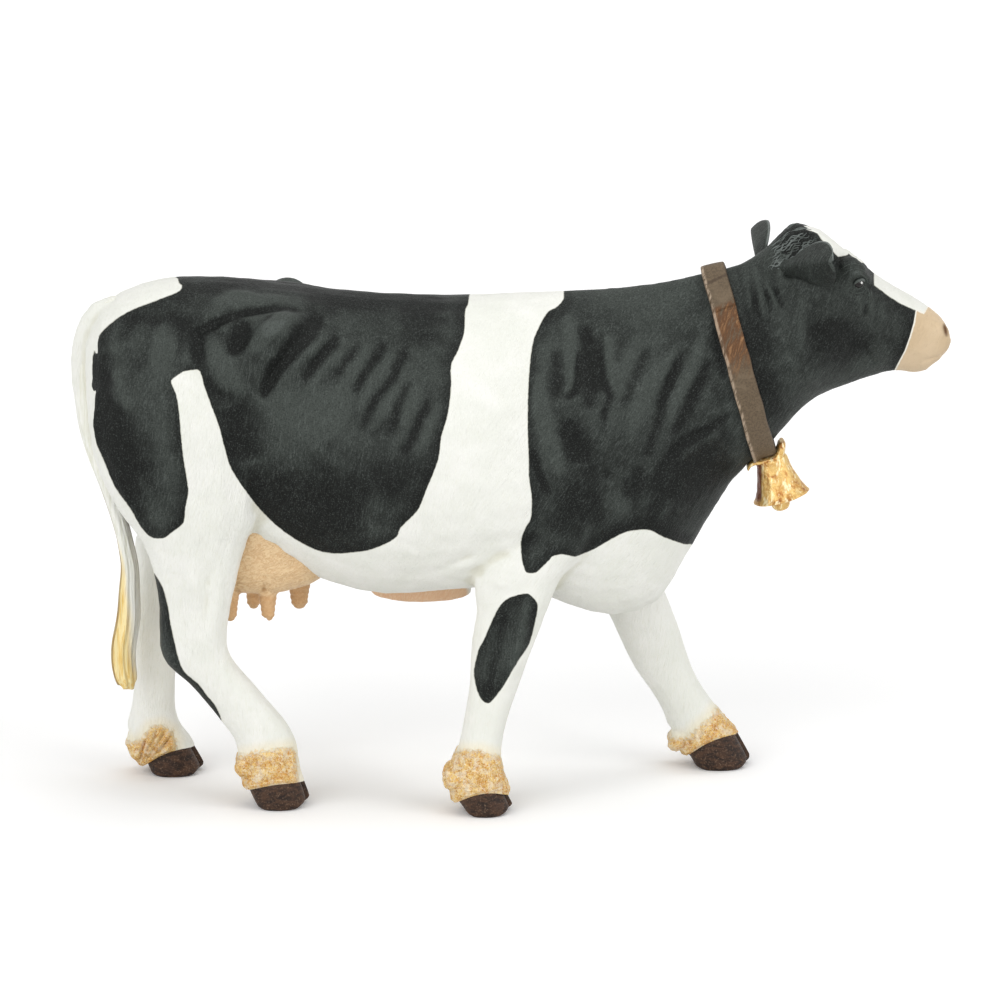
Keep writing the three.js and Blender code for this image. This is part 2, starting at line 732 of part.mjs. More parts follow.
// The bell hangs under the throat in line with the strap: how far its crown lies below the throat
// and in front of the strap's middle
const bellTop = throat.clone().addScaledVector(collarDown, BELL_DROP);
bellTop.addScaledVector(collarForward, BELL_LEAD);
const bellFrame = collarFrame.clone().setPosition(bellTop);

// The bell's outline from the crown down and up again inside, in shares of half the rim's diameter
// and of the bell's height
const bellCeilingShare = -0.5;
const bellOutlineShares = [
  [0, 0],
  [0.46, 0],
  [0.6, -0.1],
  [0.66, -0.4],
  [0.76, -0.7],
  [0.93, -0.9],
  [1, -0.96],
  [1, -1],
  [0.84, -1],
  [0.76, -0.9],
  [0.58, -0.7],
  [0.46, -0.55],
  [0, bellCeilingShare],
];
const hangerFootShare = 0.46;

function bellPiece() {
  const body = turned(bellOutlineShares, BELL_RIM_DIAMETER / 2, BELL_HEIGHT, ROUND_SIDES);
  const length = COLLAR_WIDTH + 2 * (CLEARANCE + HANGER_LIP);
  const foot = BELL_HEIGHT * hangerFootShare;
  const hanger = new THREE.BoxGeometry(length, HANGER_WIDTH, HANGER_RISE + foot);
  hanger.translate(-BELL_LEAD, 0, (HANGER_RISE - foot) / 2);
  const strapRoom = neckBand(COLLAR_WIDTH + 2 * CLEARANCE, 0, 2 * CLEARANCE + COLLAR_THICKNESS);
  return solid(hanger.applyMatrix4(bellFrame))
    .add(solid(body.applyMatrix4(bellFrame)))
    .subtract(strapRoom)
    .subtract(bodyForm(CLEARANCE));
}

function clapperPiece() {
  const ball = new THREE.SphereGeometry(CLAPPER_DIAMETER / 2, SMALL_SIDES, SMALL_SIDES);
  const radius = CLAPPER_STEM_DIAMETER / 2;
  const stemTop = BELL_HEIGHT * bellCeilingShare - CLEARANCE;
  const stemLength = BELL_HEIGHT + stemTop;
  const stem = new THREE.CylinderGeometry(radius, radius, stemLength, SMALL_SIDES);
  stem.rotateX(Math.PI / 2).translate(0, 0, stemTop - stemLength / 2);
  ball.translate(0, 0, -BELL_HEIGHT);
  return solid(ball.applyMatrix4(bellFrame)).add(solid(stem.applyMatrix4(bellFrame)));
}

// The fold of skin under the belly
const navelShares = [-0.145, 0.4];
function navelFold() {
  const fold = new THREE.SphereGeometry(1, ROUND_SIDES, SMALL_SIDES);
  fold.scale(NAVEL_LENGTH / 2, NAVEL_WIDTH / 2, NAVEL_DROP);
  return solid(fold.translate(...onTrunk(navelShares).toArray()));
}

function torsoPiece() {
  let piece = bodyForm(0).subtract(frontOfNeck(-CLEARANCE / 2)).add(navelFold());
  for (const leg of legs) {
    piece = piece.add(legForm(leg, 0).intersect(blockAbove(leg.joint)));
  }
  for (const leg of legs) piece = piece.subtract(legPeg(leg, CLEARANCE));
  return piece
    .subtract(neckPeg(CLEARANCE))
    .subtract(tailForm(CLEARANCE))
    .subtract(udderForm(CLEARANCE));
}

function headPiece() {
  const front = frontOfNeck(CLEARANCE / 2);
  const peg = neckPeg(0).subtract(frontOfNeck(CLEARANCE));
  return bodyForm(0)
    .intersect(front)
    .add(peg)
    .subtract(earForm(rightEarRootShares, rightEarAimShares, CLEARANCE))
    .subtract(earForm(leftEarRootShares, leftEarAimShares, CLEARANCE));
}

function udderPiece() {
  let piece = udderForm(0);
  for (const place of teatShares) piece = piece.add(teat(place));
  for (const leg of legs) piece = piece.subtract(legForm(leg, CLEARANCE));
  return piece;
}

const blackPaint = { color: 0x2a2e2f, roughness: 0.6, metalness: 0 };
const whitePaint = { color: 0xeceee4, roughness: 0.55, metalness: 0 };
const pinkPaint = { color: 0xcdac8a, roughness: 0.5, metalness: 0 };
const yellowPaint = { color: 0xebcd82, roughness: 0.6, metalness: 0 };
const strapPaint = { color: 0x786455, roughness: 0.5, metalness: 0 };
const goldPaint = { color: 0xc89650, roughness: 0.35, metalness: 0.6 };

const cow = new THREE.Group();

function add(name, made, paint) {
  const mesh = new THREE.Mesh(geometryOf(made), new THREE.MeshStandardMaterial(paint));
  mesh.name = name;
  cow.add(mesh);
}

add("torso", torsoPiece(), blackPaint);
add("head", headPiece(), blackPaint);
add("right_ear", earForm(rightEarRootShares, rightEarAimShares, 0), blackPaint);
add("left_ear", earForm(leftEarRootShares, leftEarAimShares, 0), blackPaint);
for (const leg of legs) add(leg.name, legPiece(leg), whitePaint);
add("udder", udderPiece(), pinkPaint);
add("tail", tailForm(0), yellowPaint);
add("collar", collarPiece(), strapPaint);
add("bell", bellPiece(), goldPaint);
add("clapper", clapperPiece(), goldPaint);

// The origin is under the middle of the figure, on the ground
const box = new THREE.Box3().setFromObject(cow);
const middle = box.getCenter(new THREE.Vector3());
cow.position.set(-middle.x, -middle.y, -box.min.z);

export default cow;
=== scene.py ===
"""A moulded and hand-painted toy dairy cow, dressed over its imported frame. Shapes are worked out in
millimetres in the figure's design frame, and moved and scaled to metres when a piece is made."""

import math
from collections import namedtuple

import bpy
import numpy as np
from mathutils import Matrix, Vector
from mathutils.bvhtree import BVHTree


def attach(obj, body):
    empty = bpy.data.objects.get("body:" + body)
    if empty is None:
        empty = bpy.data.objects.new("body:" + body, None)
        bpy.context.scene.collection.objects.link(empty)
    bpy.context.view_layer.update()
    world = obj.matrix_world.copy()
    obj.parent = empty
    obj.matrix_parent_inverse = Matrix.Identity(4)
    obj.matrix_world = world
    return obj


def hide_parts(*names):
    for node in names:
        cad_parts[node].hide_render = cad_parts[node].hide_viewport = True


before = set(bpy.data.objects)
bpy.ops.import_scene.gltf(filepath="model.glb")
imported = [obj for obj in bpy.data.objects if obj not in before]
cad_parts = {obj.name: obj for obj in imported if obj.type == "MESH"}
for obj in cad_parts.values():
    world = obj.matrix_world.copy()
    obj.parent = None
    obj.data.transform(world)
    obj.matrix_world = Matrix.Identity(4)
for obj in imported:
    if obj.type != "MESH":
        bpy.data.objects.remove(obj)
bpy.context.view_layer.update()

MM = 0.001
SHIFT = np.array((0.451, 0.0, 0.0))
UP = np.array((0.0, 0.0, 1.0))
LEFT = np.array((0.0, 1.0, 0.0))

# The camera of the photograph: a long lens, fourteen degrees above the level, seen from the right
AIM = np.array((-2.31, 0.0, 46.3))
DISTANCE = 900.0
TILT = math.radians(14)
PIXELS_PER_MM = 6.49
LENS = 210.2


def add_object(name, data):
    made = bpy.data.objects.new(name, data)
    bpy.context.scene.collection.objects.link(made)
    return made


def add_camera():
    camera = add_object("camera", bpy.data.cameras.new("camera"))
    bpy.context.scene.camera = camera
    back = Vector((0, -math.cos(TILT), math.sin(TILT)))
    camera.location = Vector((AIM + SHIFT) * MM) + back * DISTANCE * MM
    camera.rotation_euler = (-back).to_track_quat("-Z", "Y").to_euler()
    camera.data.lens = LENS
    camera.data.clip_start = 0.05
    camera.data.clip_end = 20


def screen(points):
    """Where the photograph shows these points, in its pixels."""
    x, y, z = (points - AIM).T
    depth = y * math.cos(TILT) - z * math.sin(TILT)
    rise = z * math.cos(TILT) + y * math.sin(TILT)
    scale = PIXELS_PER_MM * DISTANCE / (DISTANCE + depth)
    return np.column_stack((500 + scale * x, 500 - scale * rise))


def place(px, py, y):
    """The point at this distance y to the left that the photograph shows at a pixel."""
    z = 40.0
    for _ in range(8):
        depth = y * math.cos(TILT) - (z - AIM[2]) * math.sin(TILT)
        scale = PIXELS_PER_MM * DISTANCE / (DISTANCE + depth)
        z = AIM[2] + ((500 - py) / scale - y * math.sin(TILT)) / math.cos(TILT)
    return np.array((AIM[0] + (px - 500) / scale, y, z))


# Noise and curves

_rng = np.random.default_rng(11)
_order = np.tile(_rng.permutation(256), 3)
_slopes = _rng.normal(size=(256, 3))
_slopes /= np.linalg.norm(_slopes, axis=1)[:, None]


def noise(points, seed=0):
    """Gradient noise from -1 to 1 at each point."""
    points = points + seed * 31.7
    cell = np.floor(points).astype(int)
    part = points - cell
    ease = part**3 * (part * (part * 6 - 15) + 10)
    cell &= 255
    total = np.zeros(len(points))
    for corner in np.ndindex(2, 2, 2):
        i, j, k = (cell + corner).T
        away = part - corner
        weight = np.prod(np.where(corner, ease, 1 - ease), axis=1)
        total += weight * np.einsum("ij,ij->i", _slopes[_order[_order[_order[i] + j] + k]], away)
    return np.clip(total * 1.6, -1, 1)


def layered(points, seed, layers):
    """Noise with finer and weaker noise on it."""
    return sum(noise(points * 2**i, seed + i) / 2**i for i in range(layers)) / 1.6


def step(low, high, value):
    t = np.clip((value - low) / (high - low), 0, 1)
    return t * t * (3 - 2 * t)


def hump(away, width):
    """1 in the middle, falling off over this width."""
    return np.exp(-((away / width) ** 2))


def unit(vector):
    return vector / np.linalg.norm(vector)


def circle(count):
    """Angles once round."""
    return np.linspace(0, 2 * math.pi, count, endpoint=False)


def taper(count, blunt, power):
    """Thickness from end to end of a strand, thinner at both ends."""
    return np.sin(np.linspace(blunt, math.pi - blunt, count)) ** power


def drawn(rows, steps):
    """Rows of numbers drawn smooth through the given ones."""
    rows = np.array(rows, float)
    padded = np.concatenate((2 * rows[:1] - rows[1:2], rows, 2 * rows[-1:] - rows[-2:-1]))
    made = []
    for i in range(1, len(rows)):
        a, b, c, d = padded[i - 1 : i + 3]
        for t in np.linspace(0, 1, steps, endpoint=False):
            bend = (2 * a - 5 * b + 4 * c - d) * t**2 + (3 * b - a - 3 * c + d) * t**3
            made.append(0.5 * (2 * b + (c - a) * t + bend))
    return np.array([*made, rows[-1]])


def rounded(outline):
    """A closed outline drawn smooth through its points."""
    rows = np.array(outline, float)
    around = np.concatenate((rows[-1:], rows, rows[:2]))
    made = []
    for a, b, c, d in zip(around[:-3], around[1:-2], around[2:-1], around[3:]):
        side = np.linalg.norm(c - b)
        reach = min(side, np.linalg.norm(b - a), np.linalg.norm(d - c)) / side
        for t in (0, 0.25, 0.5, 0.75):
            ease = t * t * (3 - 2 * t)
            bend = reach * 0.5 * ((c - a) * (t**3 - 2 * t**2 + t) + (d - b) * (t**3 - t**2))
            made.append(b + (c - b) * ease + bend)
    return np.array(made)


def from_side(at, a, side):
    """How far pixels lie from a straight line that starts at a, and where along it."""
    t = np.clip(((at - a) @ side) / (side @ side), 0, 1)
    return np.linalg.norm(at - a - t[:, None] * side, axis=1), t


def inside_by(at, outline):
    """How far inside an outline each pixel lies, in millimetres, and below zero outside it."""
    outline = np.array(outline, float)
    best = np.full(len(at), np.inf)
    inside = np.zeros(len(at), bool)
    for a, b in zip(outline, np.roll(outline, -1, axis=0)):
        side = b - a
        best = np.minimum(best, from_side(at, a, side)[0])
        crosses = (a[1] > at[:, 1]) != (b[1] > at[:, 1])
        with np.errstate(divide="ignore", invalid="ignore"):
            inside ^= crosses & (at[:, 0] < side[0] * (at[:, 1] - a[1]) / side[1] + a[0])
    return np.where(inside, best, -best) / PIXELS_PER_MM


def stroke(at, path, width):
    """How near pixels lie to a stroke, from 1 on it to 0, faded out at the stroke's ends."""
    path = np.array(path, float)
    lengths = np.linalg.norm(np.diff(path, axis=0), axis=1)
    run = 0.0
    best = np.full(len(at), np.inf)
    share = np.zeros(len(at))
    for a, b, length in zip(path[:-1], path[1:], lengths):
        far, t = from_side(at, a, b - a)
        nearer = far < best
        best[nearer] = far[nearer]
        share[nearer] = (run + t[nearer] * length) / lengths.sum()
        run += length
    faded = np.clip(4.5 * share * (1 - share), 0.0, 1) ** 0.6
    return hump(best, width * (0.45 + 0.55 * faded)) * faded


def strokes(at, rows):
    """The sum of many strokes, each with its own height, half width and path."""
    total = np.zeros(len(at))
    for amount, width, path in rows:
        total += amount * stroke(at, path, width)
    return total


# Meshes as plain arrays


def node_mesh(name):
    """A CAD node's points in millimetres in the design frame, and its triangles, with no seams."""
    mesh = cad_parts[name].data
    mesh.calc_loop_triangles()
    points = np.empty(len(mesh.vertices) * 3)
    mesh.vertices.foreach_get("co", points)
    faces = np.empty(len(mesh.loop_triangles) * 3, np.int32)
    mesh.loop_triangles.foreach_get("vertices", faces)
    points = points.reshape(-1, 3) / MM - SHIFT
    keys = np.round(points * 2000).astype(np.int64)
    _, first, inverse = np.unique(keys, axis=0, return_index=True, return_inverse=True)
    faces = inverse.reshape(-1)[faces.reshape(-1, 3)]
    whole = (faces != np.roll(faces, -1, axis=1)).all(axis=1)
    return points[first], faces[whole]


def scatter(index, values, count):
    """Adds values up in the slots that index names."""
    return np.column_stack([np.bincount(index, column, count) for column in values.T])


def normals(points, faces):
    """The way out at each point, from the faces round it by their area."""
    ends = (0, 2, 1, 3) if faces.shape[1] == 4 else (0, 1, 0, 2)
    a, b, c, d = (points[faces[:, i]] for i in ends)
    spread = np.repeat(np.cross(b - a, d - c) / 2, faces.shape[1], axis=0)
    total = scatter(faces.ravel(), spread, len(points))
    return total / np.maximum(np.linalg.norm(total, axis=1), 1e-9)[:, None]


def sides_of(faces):
    """Every side of every face, as pairs of points."""
    count = faces.shape[1]
    return np.concatenate([faces[:, [i, (i + 1) % count]] for i in range(count)])


def edges_of(faces):
    return np.unique(np.sort(sides_of(faces), axis=1), axis=0)


def neighbours_mean(values, edges):
    count = len(values)
    ends = edges.T.ravel()
    total = scatter(ends, values[edges[:, ::-1].T.ravel()], count)
    return total / np.maximum(np.bincount(ends, minlength=count), 1)[:, None]


def smoothed(points, edges, rounds, weight=1.0):
    """Points moved towards their neighbours and back again, which keeps the volume."""
    weight = np.asarray(weight).reshape(-1, 1)
    for _ in range(rounds):
        for share in (0.5, -0.52):
            points = points + share * weight * (neighbours_mean(points, edges) - points)
    return points


def crest_of(points, quads, edges, rounds):
    """Above zero on ridges and below zero in hollows."""
    flat = points
    for _ in range(rounds):
        flat = neighbours_mean(flat, edges)
    lift = np.einsum("ij,ij->i", points - flat, normals(points, quads))[:, None]
    for _ in range(2):
        lift = neighbours_mean(lift, edges)
    return lift[:, 0]


def subdivided(points, quads):
    """Each quad as four, on the same surface."""
    edges = edges_of(quads)
    count = len(points)
    keys = edges[:, 0].astype(np.int64) * count + edges[:, 1]
    centres = count + len(edges) + np.arange(len(quads))
    halves = []
    for i in range(4):
        a, b = quads[:, i], quads[:, (i + 1) % 4]
        side = np.minimum(a, b).astype(np.int64) * count + np.maximum(a, b)
        halves.append(count + np.searchsorted(keys, side))
    made = [np.column_stack((quads[:, i], halves[i], centres, halves[i - 1])) for i in range(4)]
    points = np.concatenate((points, points[edges].mean(axis=1), points[quads].mean(axis=1)))
    return points, np.concatenate(made)


def joined(parts):
    """Several meshes as one, with its faces as lists of corners."""
    all_points, all_faces, start = [], [], 0
    for points, faces in parts:
        all_points.append(points)
        all_faces += [[corner + start for corner in face] for face in faces]
        start += len(points)
    return np.concatenate(all_points), all_faces


def remeshed(parts, voxel, grow):
    """One skin of small quads round all the parts, with gaps narrower than twice grow closed."""
    points, faces = joined((p + normals(p, f) * grow, f.tolist()) for p, f in parts)
    mesh = bpy.data.meshes.new("work")
    mesh.from_pydata(points.tolist(), [], faces)
    work = add_object("work", mesh)
    modifier = work.modifiers.new("skin", "REMESH")
    modifier.mode = "VOXEL"
    modifier.voxel_size = voxel
    modifier.adaptivity = 0
    made = work.evaluated_get(bpy.context.evaluated_depsgraph_get()).to_mesh()
    points = np.empty(len(made.vertices) * 3)
    made.vertices.foreach_get("co", points)
    quads = np.empty(len(made.loops), np.int32)
    made.loops.foreach_get("vertex_index", quads)
    bpy.data.objects.remove(work)
    bpy.data.meshes.remove(mesh)
    points, quads = outer_shell(points.reshape(-1, 3), quads.reshape(-1, 4))
    edges = edges_of(quads)
    points = smoothed(points, edges, 2)
    return points - normals(points, quads) * grow, quads, edges


def islands(count, edges):
    """A number for each point, shared by the points that edges join."""
    label = np.arange(count)
    while True:
        low = label[edges].min(axis=1)
        before = label.copy()
        for end in edges.T:
            np.minimum.at(label, end, low)
        label = label[label]
        if np.array_equal(before, label):
            return label


def outer_shell(points, faces):
    """The largest connected shell, without the pockets inside it."""
    label = islands(len(points), edges_of(faces))
    return compact(points, faces[label[faces[:, 0]] == np.bincount(label).argmax()])


def compact(points, faces):
    """Only the points that the faces use."""
    used = np.unique(faces)
    index = np.full(len(points), -1)
    index[used] = np.arange(len(used))
    return points[used], index[faces]


def rim_loops(faces):
    """The open rims of a skin, each as its points in order."""
    pairs = sides_of(faces)
    _, inverse, count = np.unique(np.sort(pairs, axis=1), axis=0, return_inverse=True, return_counts=True)
    follow = {int(a): int(b) for a, b in pairs[count[inverse.reshape(-1)] == 1]}
    loops = []
    while follow:
        start, following = follow.popitem()
        loop = [start]
        while following != start and following in follow:
            loop.append(following)
            following = follow.pop(following)
        loops.append(loop)
    return loops


def capped(points, faces):
    """The skin with a shallow fan over each open rim, as points and lists of corners."""
    points = list(points)
    lists = faces.tolist()
    for loop in rim_loops(faces):
        points.append(np.mean([points[i] for i in loop], axis=0))
        lists += [[after, before, len(points) - 1] for before, after in zip(loop, loop[1:] + loop[:1])]
    return np.array(points), lists


def loft(rings, flip=False, closed=False):
    """A form through rings of equally many points: closed to a hoop, or with a fan at each end."""
    count = len(rings[0])
    faces = []
    for r in range(len(rings) - 1 + closed):
        after = (r + 1) % len(rings)
        for i in range(count):
            j = (i + 1) % count
            faces.append([r * count + i, r * count + j, after * count + j, after * count + i])
    points = np.concatenate(rings)
    if not closed:
        points = np.concatenate((points, [rings[0].mean(axis=0), rings[-1].mean(axis=0)]))
        low, high, last = len(points) - 2, len(points) - 1, (len(rings) - 1) * count
        for i in range(count):
            j = (i + 1) % count
            faces += [[low, j, i], [high, last + i, last + j]]
    return points, [face[::-1] for face in faces] if flip else faces


def ways(path, closed=False):
    """Each point's place in a path and the way the path takes there, not yet of length 1."""
    for i, point in enumerate(path):
        if closed:
            yield point, path[(i + 1) % len(path)] - path[i - 1]
        else:
            yield point, path[min(i + 1, len(path) - 1)] - path[max(i - 1, 0)]


def tube(path, radii, sides=12, closed=False):
    """A round cord along a path, as thick at each place as its radius there."""
    if not closed:
        apart = np.append(True, np.linalg.norm(np.diff(path, axis=0), axis=1) > 0.01)
        path, radii = path[apart], radii[apart]
    turn = circle(sides)
    rings = []
    for (point, way), radius in zip(ways(path, closed), radii):
        way = way / max(np.linalg.norm(way), 1e-9)
        first = unit(np.cross(way, LEFT))
        second = np.cross(way, first)
        rings.append(point + radius * (np.outer(np.cos(turn), first) + np.outer(np.sin(turn), second)))
    return loft(rings + rings[:1] if closed else rings)


def ellipsoid(middle, halves, sides=32):
    """A rounded bead."""
    turn = circle(sides)
    rings = []
    for angle in np.linspace(-1, 1, sides // 2 + 1)[1:-1] * math.pi / 2:
        flat = math.cos(angle)
        ring = np.column_stack((np.cos(turn) * flat, np.sin(turn) * flat, np.full(sides, math.sin(angle))))
        rings.append(ring * halves + middle)
    return loft(rings)


def turned_form(rows, widths=(1, 1)):
    """A form turned round an upright axis, from rows of radius and height."""
    turn = circle(64)
    wide, deep = widths
    return loft([np.column_stack((wide * r * np.cos(turn), deep * r * np.sin(turn), np.full(64, z)))
                 for r, z in rows])


def triangles_of(faces):
    """Lists of three or four corners as triangles."""
    return np.array([part for f in faces for part in ([f[:3], [f[0], f[2], f[3]]] if len(f) == 4 else [f])])


def make_piece(name, points, faces, material, slot, replaced=(), marks=None, shading=None):
    """A smooth-shaded object from points in the design frame, riding on the one body."""
    mesh = bpy.data.meshes.new(name)
    mesh.from_pydata(((points + SHIFT) * MM).tolist(), [], faces)
    mesh.polygons.foreach_set("use_smooth", [len(face) != 3 for face in faces])
    for mark, values in (marks or {}).items():
        full = np.zeros(len(points), np.float32)
        full[: len(values)] = values
        mesh.attributes.new(mark, "FLOAT", "POINT").data.foreach_set("value", full)
    if shading is not None:
        full = np.zeros((len(points), 3))
        full[: len(shading)] = shading
        mesh.normals_split_custom_set_from_vertices(full.tolist())
    mesh.materials.append(material)
    piece = add_object(name, mesh)
    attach(piece, "root")
    if replaced:
        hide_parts(*replaced)


# Paint


class Shade:
    """A node tree for a material or the world, built from the texture up."""

    def __init__(self, name, kind="materials"):
        self.owner = getattr(bpy.data, kind).new(name)
        self.owner.use_nodes = True
        self.tree = self.owner.node_tree
        self.tree.nodes.clear()

    def new(self, kind, inputs=(), **settings):
        """A node, with these values or links at its sockets."""
        node = self.tree.nodes.new(kind)
        for key, value in settings.items():
            setattr(node, key, value)
        for key, value in dict(inputs).items():
            self.put(node.inputs[key], value)
        return node

    def put(self, socket, value):
        if isinstance(value, bpy.types.NodeSocket):
            self.tree.links.new(value, socket)
        elif isinstance(value, tuple) and len(value) == 3 and socket.type == "RGBA":
            socket.default_value = (*value, 1)
        else:
            socket.default_value = value

    def math(self, operation, *values):
        return self.new("ShaderNodeMath", enumerate(values), operation=operation).outputs[0]

    def times(self, a, b):
        return self.math("MULTIPLY", a, b)

    def plus(self, base, value, factor=1.0):
        """The base and so many times the value."""
        return self.math("MULTIPLY_ADD", value, factor, base)

    def apart(self, a, b):
        return self.math("ABSOLUTE", self.math("SUBTRACT", a, b))

    def scaled(self, vector, factors):
        return self.new("ShaderNodeVectorMath", {0: vector, 1: factors}, operation="MULTIPLY").outputs[0]

    def turned(self, degrees, factors):
        """The place turned about the Y axis, and then scaled, for streaks that lie aslant."""
        inputs = {"Vector": self.place, "Angle": math.radians(degrees)}
        node = self.new("ShaderNodeVectorRotate", inputs, rotation_type="Y_AXIS")
        return self.scaled(node.outputs[0], factors)

    def noise(self, scale, detail, roughness=0.55, warp=0.0, at=None):
        inputs = {"Vector": self.place if at is None else at, "Scale": scale, "Detail": detail}
        inputs.update({"Roughness": roughness, "Distortion": warp})
        return self.new("ShaderNodeTexNoise", inputs).outputs["Fac"]

    def band(self, value, low, high, to_low=0.0, to_high=1.0):
        """A smooth rise from one value to another between two limits."""
        inputs = {"Value": value, "From Min": low, "From Max": high, "To Min": to_low, "To Max": to_high}
        node = self.new("ShaderNodeMapRange", inputs, interpolation_type="SMOOTHSTEP")
        return node.outputs["Result"]

    def mark(self, name):
        return self.new("ShaderNodeAttribute", attribute_name=name).outputs["Fac"]

    def mix(self, share, a, b):
        return self.new("ShaderNodeMix", {0: share, 6: a, 7: b}, data_type="RGBA").outputs[2]

    def between(self, value, low, high, first, second):
        """From one written colour to another while a value rises between two limits."""
        return self.mix(self.band(value, low, high), srgb(*first), srgb(*second))

    def washed(self, base, *washes):
        """A colour under washes: each with its value, two limits, most share and written colour."""
        for value, low, high, most, colour in washes:
            base = self.mix(self.band(value, low, high, 0.0, most), base, srgb(*colour))
        return base

    def end(self, kind, shader):
        self.new(kind, {"Surface": shader.outputs[0]})
        return self.owner

    def seen(self):
        """1 for what the camera sees straight, through something clear or in a reflection."""
        path = self.new("ShaderNodeLightPath").outputs
        straight = self.math("MAXIMUM", path["Is Camera Ray"], path["Is Transmission Ray"])
        return self.math("MAXIMUM", straight, path["Is Glossy Ray"])


class Coat(Shade):
    """A painted surface, with its place in millimetres at hand."""

    def __init__(self, name):
        super().__init__(name)
        self.place = self.scaled(self.new("ShaderNodeTexCoord").outputs["Object"], (1 / MM,) * 3)
        self.along, _, self.height = self.new("ShaderNodeSeparateXYZ", {0: self.place}).outputs

    def finish(self, colour, height, depth, roughness, **constants):
        """The surface itself: colour, roughness, and relief of so many millimetres."""
        bump = self.new("ShaderNodeBump", {"Strength": 1.0, "Distance": depth * MM, "Height": height})
        inputs = {"Base Color": colour, "Roughness": roughness, "Normal": bump.outputs[0]}
        inputs.update({key.replace("_", " "): value for key, value in constants.items()})
        return self.end("ShaderNodeOutputMaterial", self.new("ShaderNodeBsdfPrincipled", inputs))


def srgb(*values):
    """A colour as it is written on a screen, for a shader."""
    return tuple((v / 255 / 12.92) if v <= 10 else ((v / 255 + 0.055) / 1.055) ** 2.4 for v in values)


class Hair(Coat):
    """Painted hair, with what its colours share: streaks, grain, clouds, shag, curls and marks."""

    def __init__(self, name, lean, lean_behind):
        super().__init__(name)
        leans = (lean_behind, lean)
        ahead = self.band(self.plus(self.along, self.noise(0.07, 1), 30.0), -12.0, 28.0)
        self.fine, self.locks = (
            self.mix(ahead, *(self.noise(1.0, 3, 0.6, 0.5, self.turned(t, factors)) for t in leans))
            for factors in ((0.7, 3.0, 5.6), (0.2, 0.9, 1.5))
        )
        self.grain = self.noise(4.8, 2, 0.6)
        self.cloud = self.noise(0.16, 3, 0.5, 0.5)
        self.shag = self.noise(1.5, 3, 0.65, 1.2)
        self.curls = self.apart(self.noise(1.8, 2, 0.5, 1.8), 0.5)
        # The crest mark: painted highlight on ridges, painted shade in hollows
        self.crest = self.mark("crest")
        self.black = self.mark("black")


def black_hair(s):
    """Black: grey streaks, painted highlight on ridges, painted shade in hollows, darker at patch edges."""
    # The tone mark is painted light and shade over the relief; the cloud adds random tone
    tone = s.plus(s.plus(s.mark("tone"), s.cloud), -0.5)
    tone = s.plus(tone, s.band(s.black, 2.6, 0.0), -0.45)
    # Lighter on ridges, darker in hollows: painted light and shade
    tone = s.plus(tone, s.crest, 0.24)
    # Grey combed streaks of the hair, strongest where the painted light is
    brushed = s.times(s.band(s.fine, 0.46, 0.66), s.band(s.locks, 0.4, 0.64, 0.45, 1.0))
    brushed = s.times(brushed, s.band(tone, -0.9, 0.3, 0.15, 1.0))
    colour = s.between(tone, -0.6, 0.65, (14, 16, 14), (62, 67, 63))
    return s.washed(
        s.mix(s.times(brushed, 0.5), colour, srgb(94, 100, 96)),
        # A painted highlight on the highest ridges
        (s.crest, 2.2, 5.0, 0.7, (138, 145, 142)),
        (s.grain, 0.52, 0.74, 0.4, (96, 101, 98)),
        (s.grain, 0.48, 0.3, 0.55, (16, 18, 16)),
    )


def white_hair(s):
    """White, with painted shade in its hollows, a dim line along the black, and the pink of the belly."""
    colour = s.washed(
        s.between(s.cloud, 0.3, 0.7, (233, 234, 226), (240, 240, 234)),
        (s.fine, 0.5, 0.3, 0.3, (222, 222, 204)),
        # Painted shade in the hollows
        (s.crest, -0.3, -2.2, 0.45, (204, 201, 178)),
        (s.black, -0.16, -0.02, 0.4, (120, 116, 84)),
    )
    flush = s.between(s.fine, 0.4, 0.65, (226, 184, 148), (232, 200, 166))
    colour = s.mix(s.band(s.mark("flush"), 0.15, 0.6), colour, flush)
    return s.washed(colour, (s.mark("ochre"), -2.2, -0.2, 0.35, (242, 222, 170)))


def ochre_hair(s):
    """The ochre wash over the shag of the fetlocks."""
    clumps = s.noise(0.55, 2, 0.5, 0.8)
    return s.washed(
        s.between(s.shag, 0.36, 0.58, (216, 152, 68), (251, 214, 136)),
        (clumps, 0.5, 0.64, 0.6, (252, 236, 208)),
        (clumps, 0.46, 0.34, 0.5, (226, 160, 70)),
        # Darker brown in the hollows: painted shade
        (s.crest, -0.4, -1.8, 0.7, (184, 120, 52)),
        (s.curls, 0.045, 0.0, 0.85, (254, 244, 224)),
        (s.curls, 0.12, 0.2, 0.5, (198, 134, 64)),
    )


def muzzle_skin(s):
    colour = s.between(s.cloud, 0.35, 0.65, (208, 184, 150), (219, 196, 164))
    # Darker in the hollows: painted shade
    return s.washed(colour, (s.crest, -0.3, -1.8, 0.7, (172, 144, 106)))


def coat_material(name, lean, lean_behind):
    """The painted coat: white with black patches, ochre shag and a pink muzzle."""
    s = Hair(name, lean, lean_behind)
    ragged = s.plus(-0.11, s.noise(1.6, 2), 0.22)
    muzzle = s.mark("muzzle")
    shaggy = s.band(s.plus(s.plus(s.mark("ochre"), s.shag, 2.6), -1.3), -0.5, 0.5)
    colour = s.mix(shaggy, white_hair(s), ochre_hair(s))
    colour = s.mix(s.band(s.plus(s.black, ragged), -0.05, 0.05), colour, black_hair(s))
    colour = s.washed(colour, (muzzle, -0.24, -0.16, 1.0, (240, 236, 224)))
    colour = s.mix(s.band(s.plus(muzzle, ragged), -0.05, 0.1), colour, muzzle_skin(s))
    colour = s.mix(s.mark("nostril"), colour, srgb(92, 60, 36))
    height = s.plus(s.plus(s.locks, s.fine, 0.8), s.grain, 0.2)
    height = s.plus(height, s.plus(s.times(s.shag, 1.6), s.curls, -2.4), shaggy)
    return s.finish(colour, height, 0.17, s.plus(0.4, s.fine, 0.25), Specular_IOR_Level=0.13)


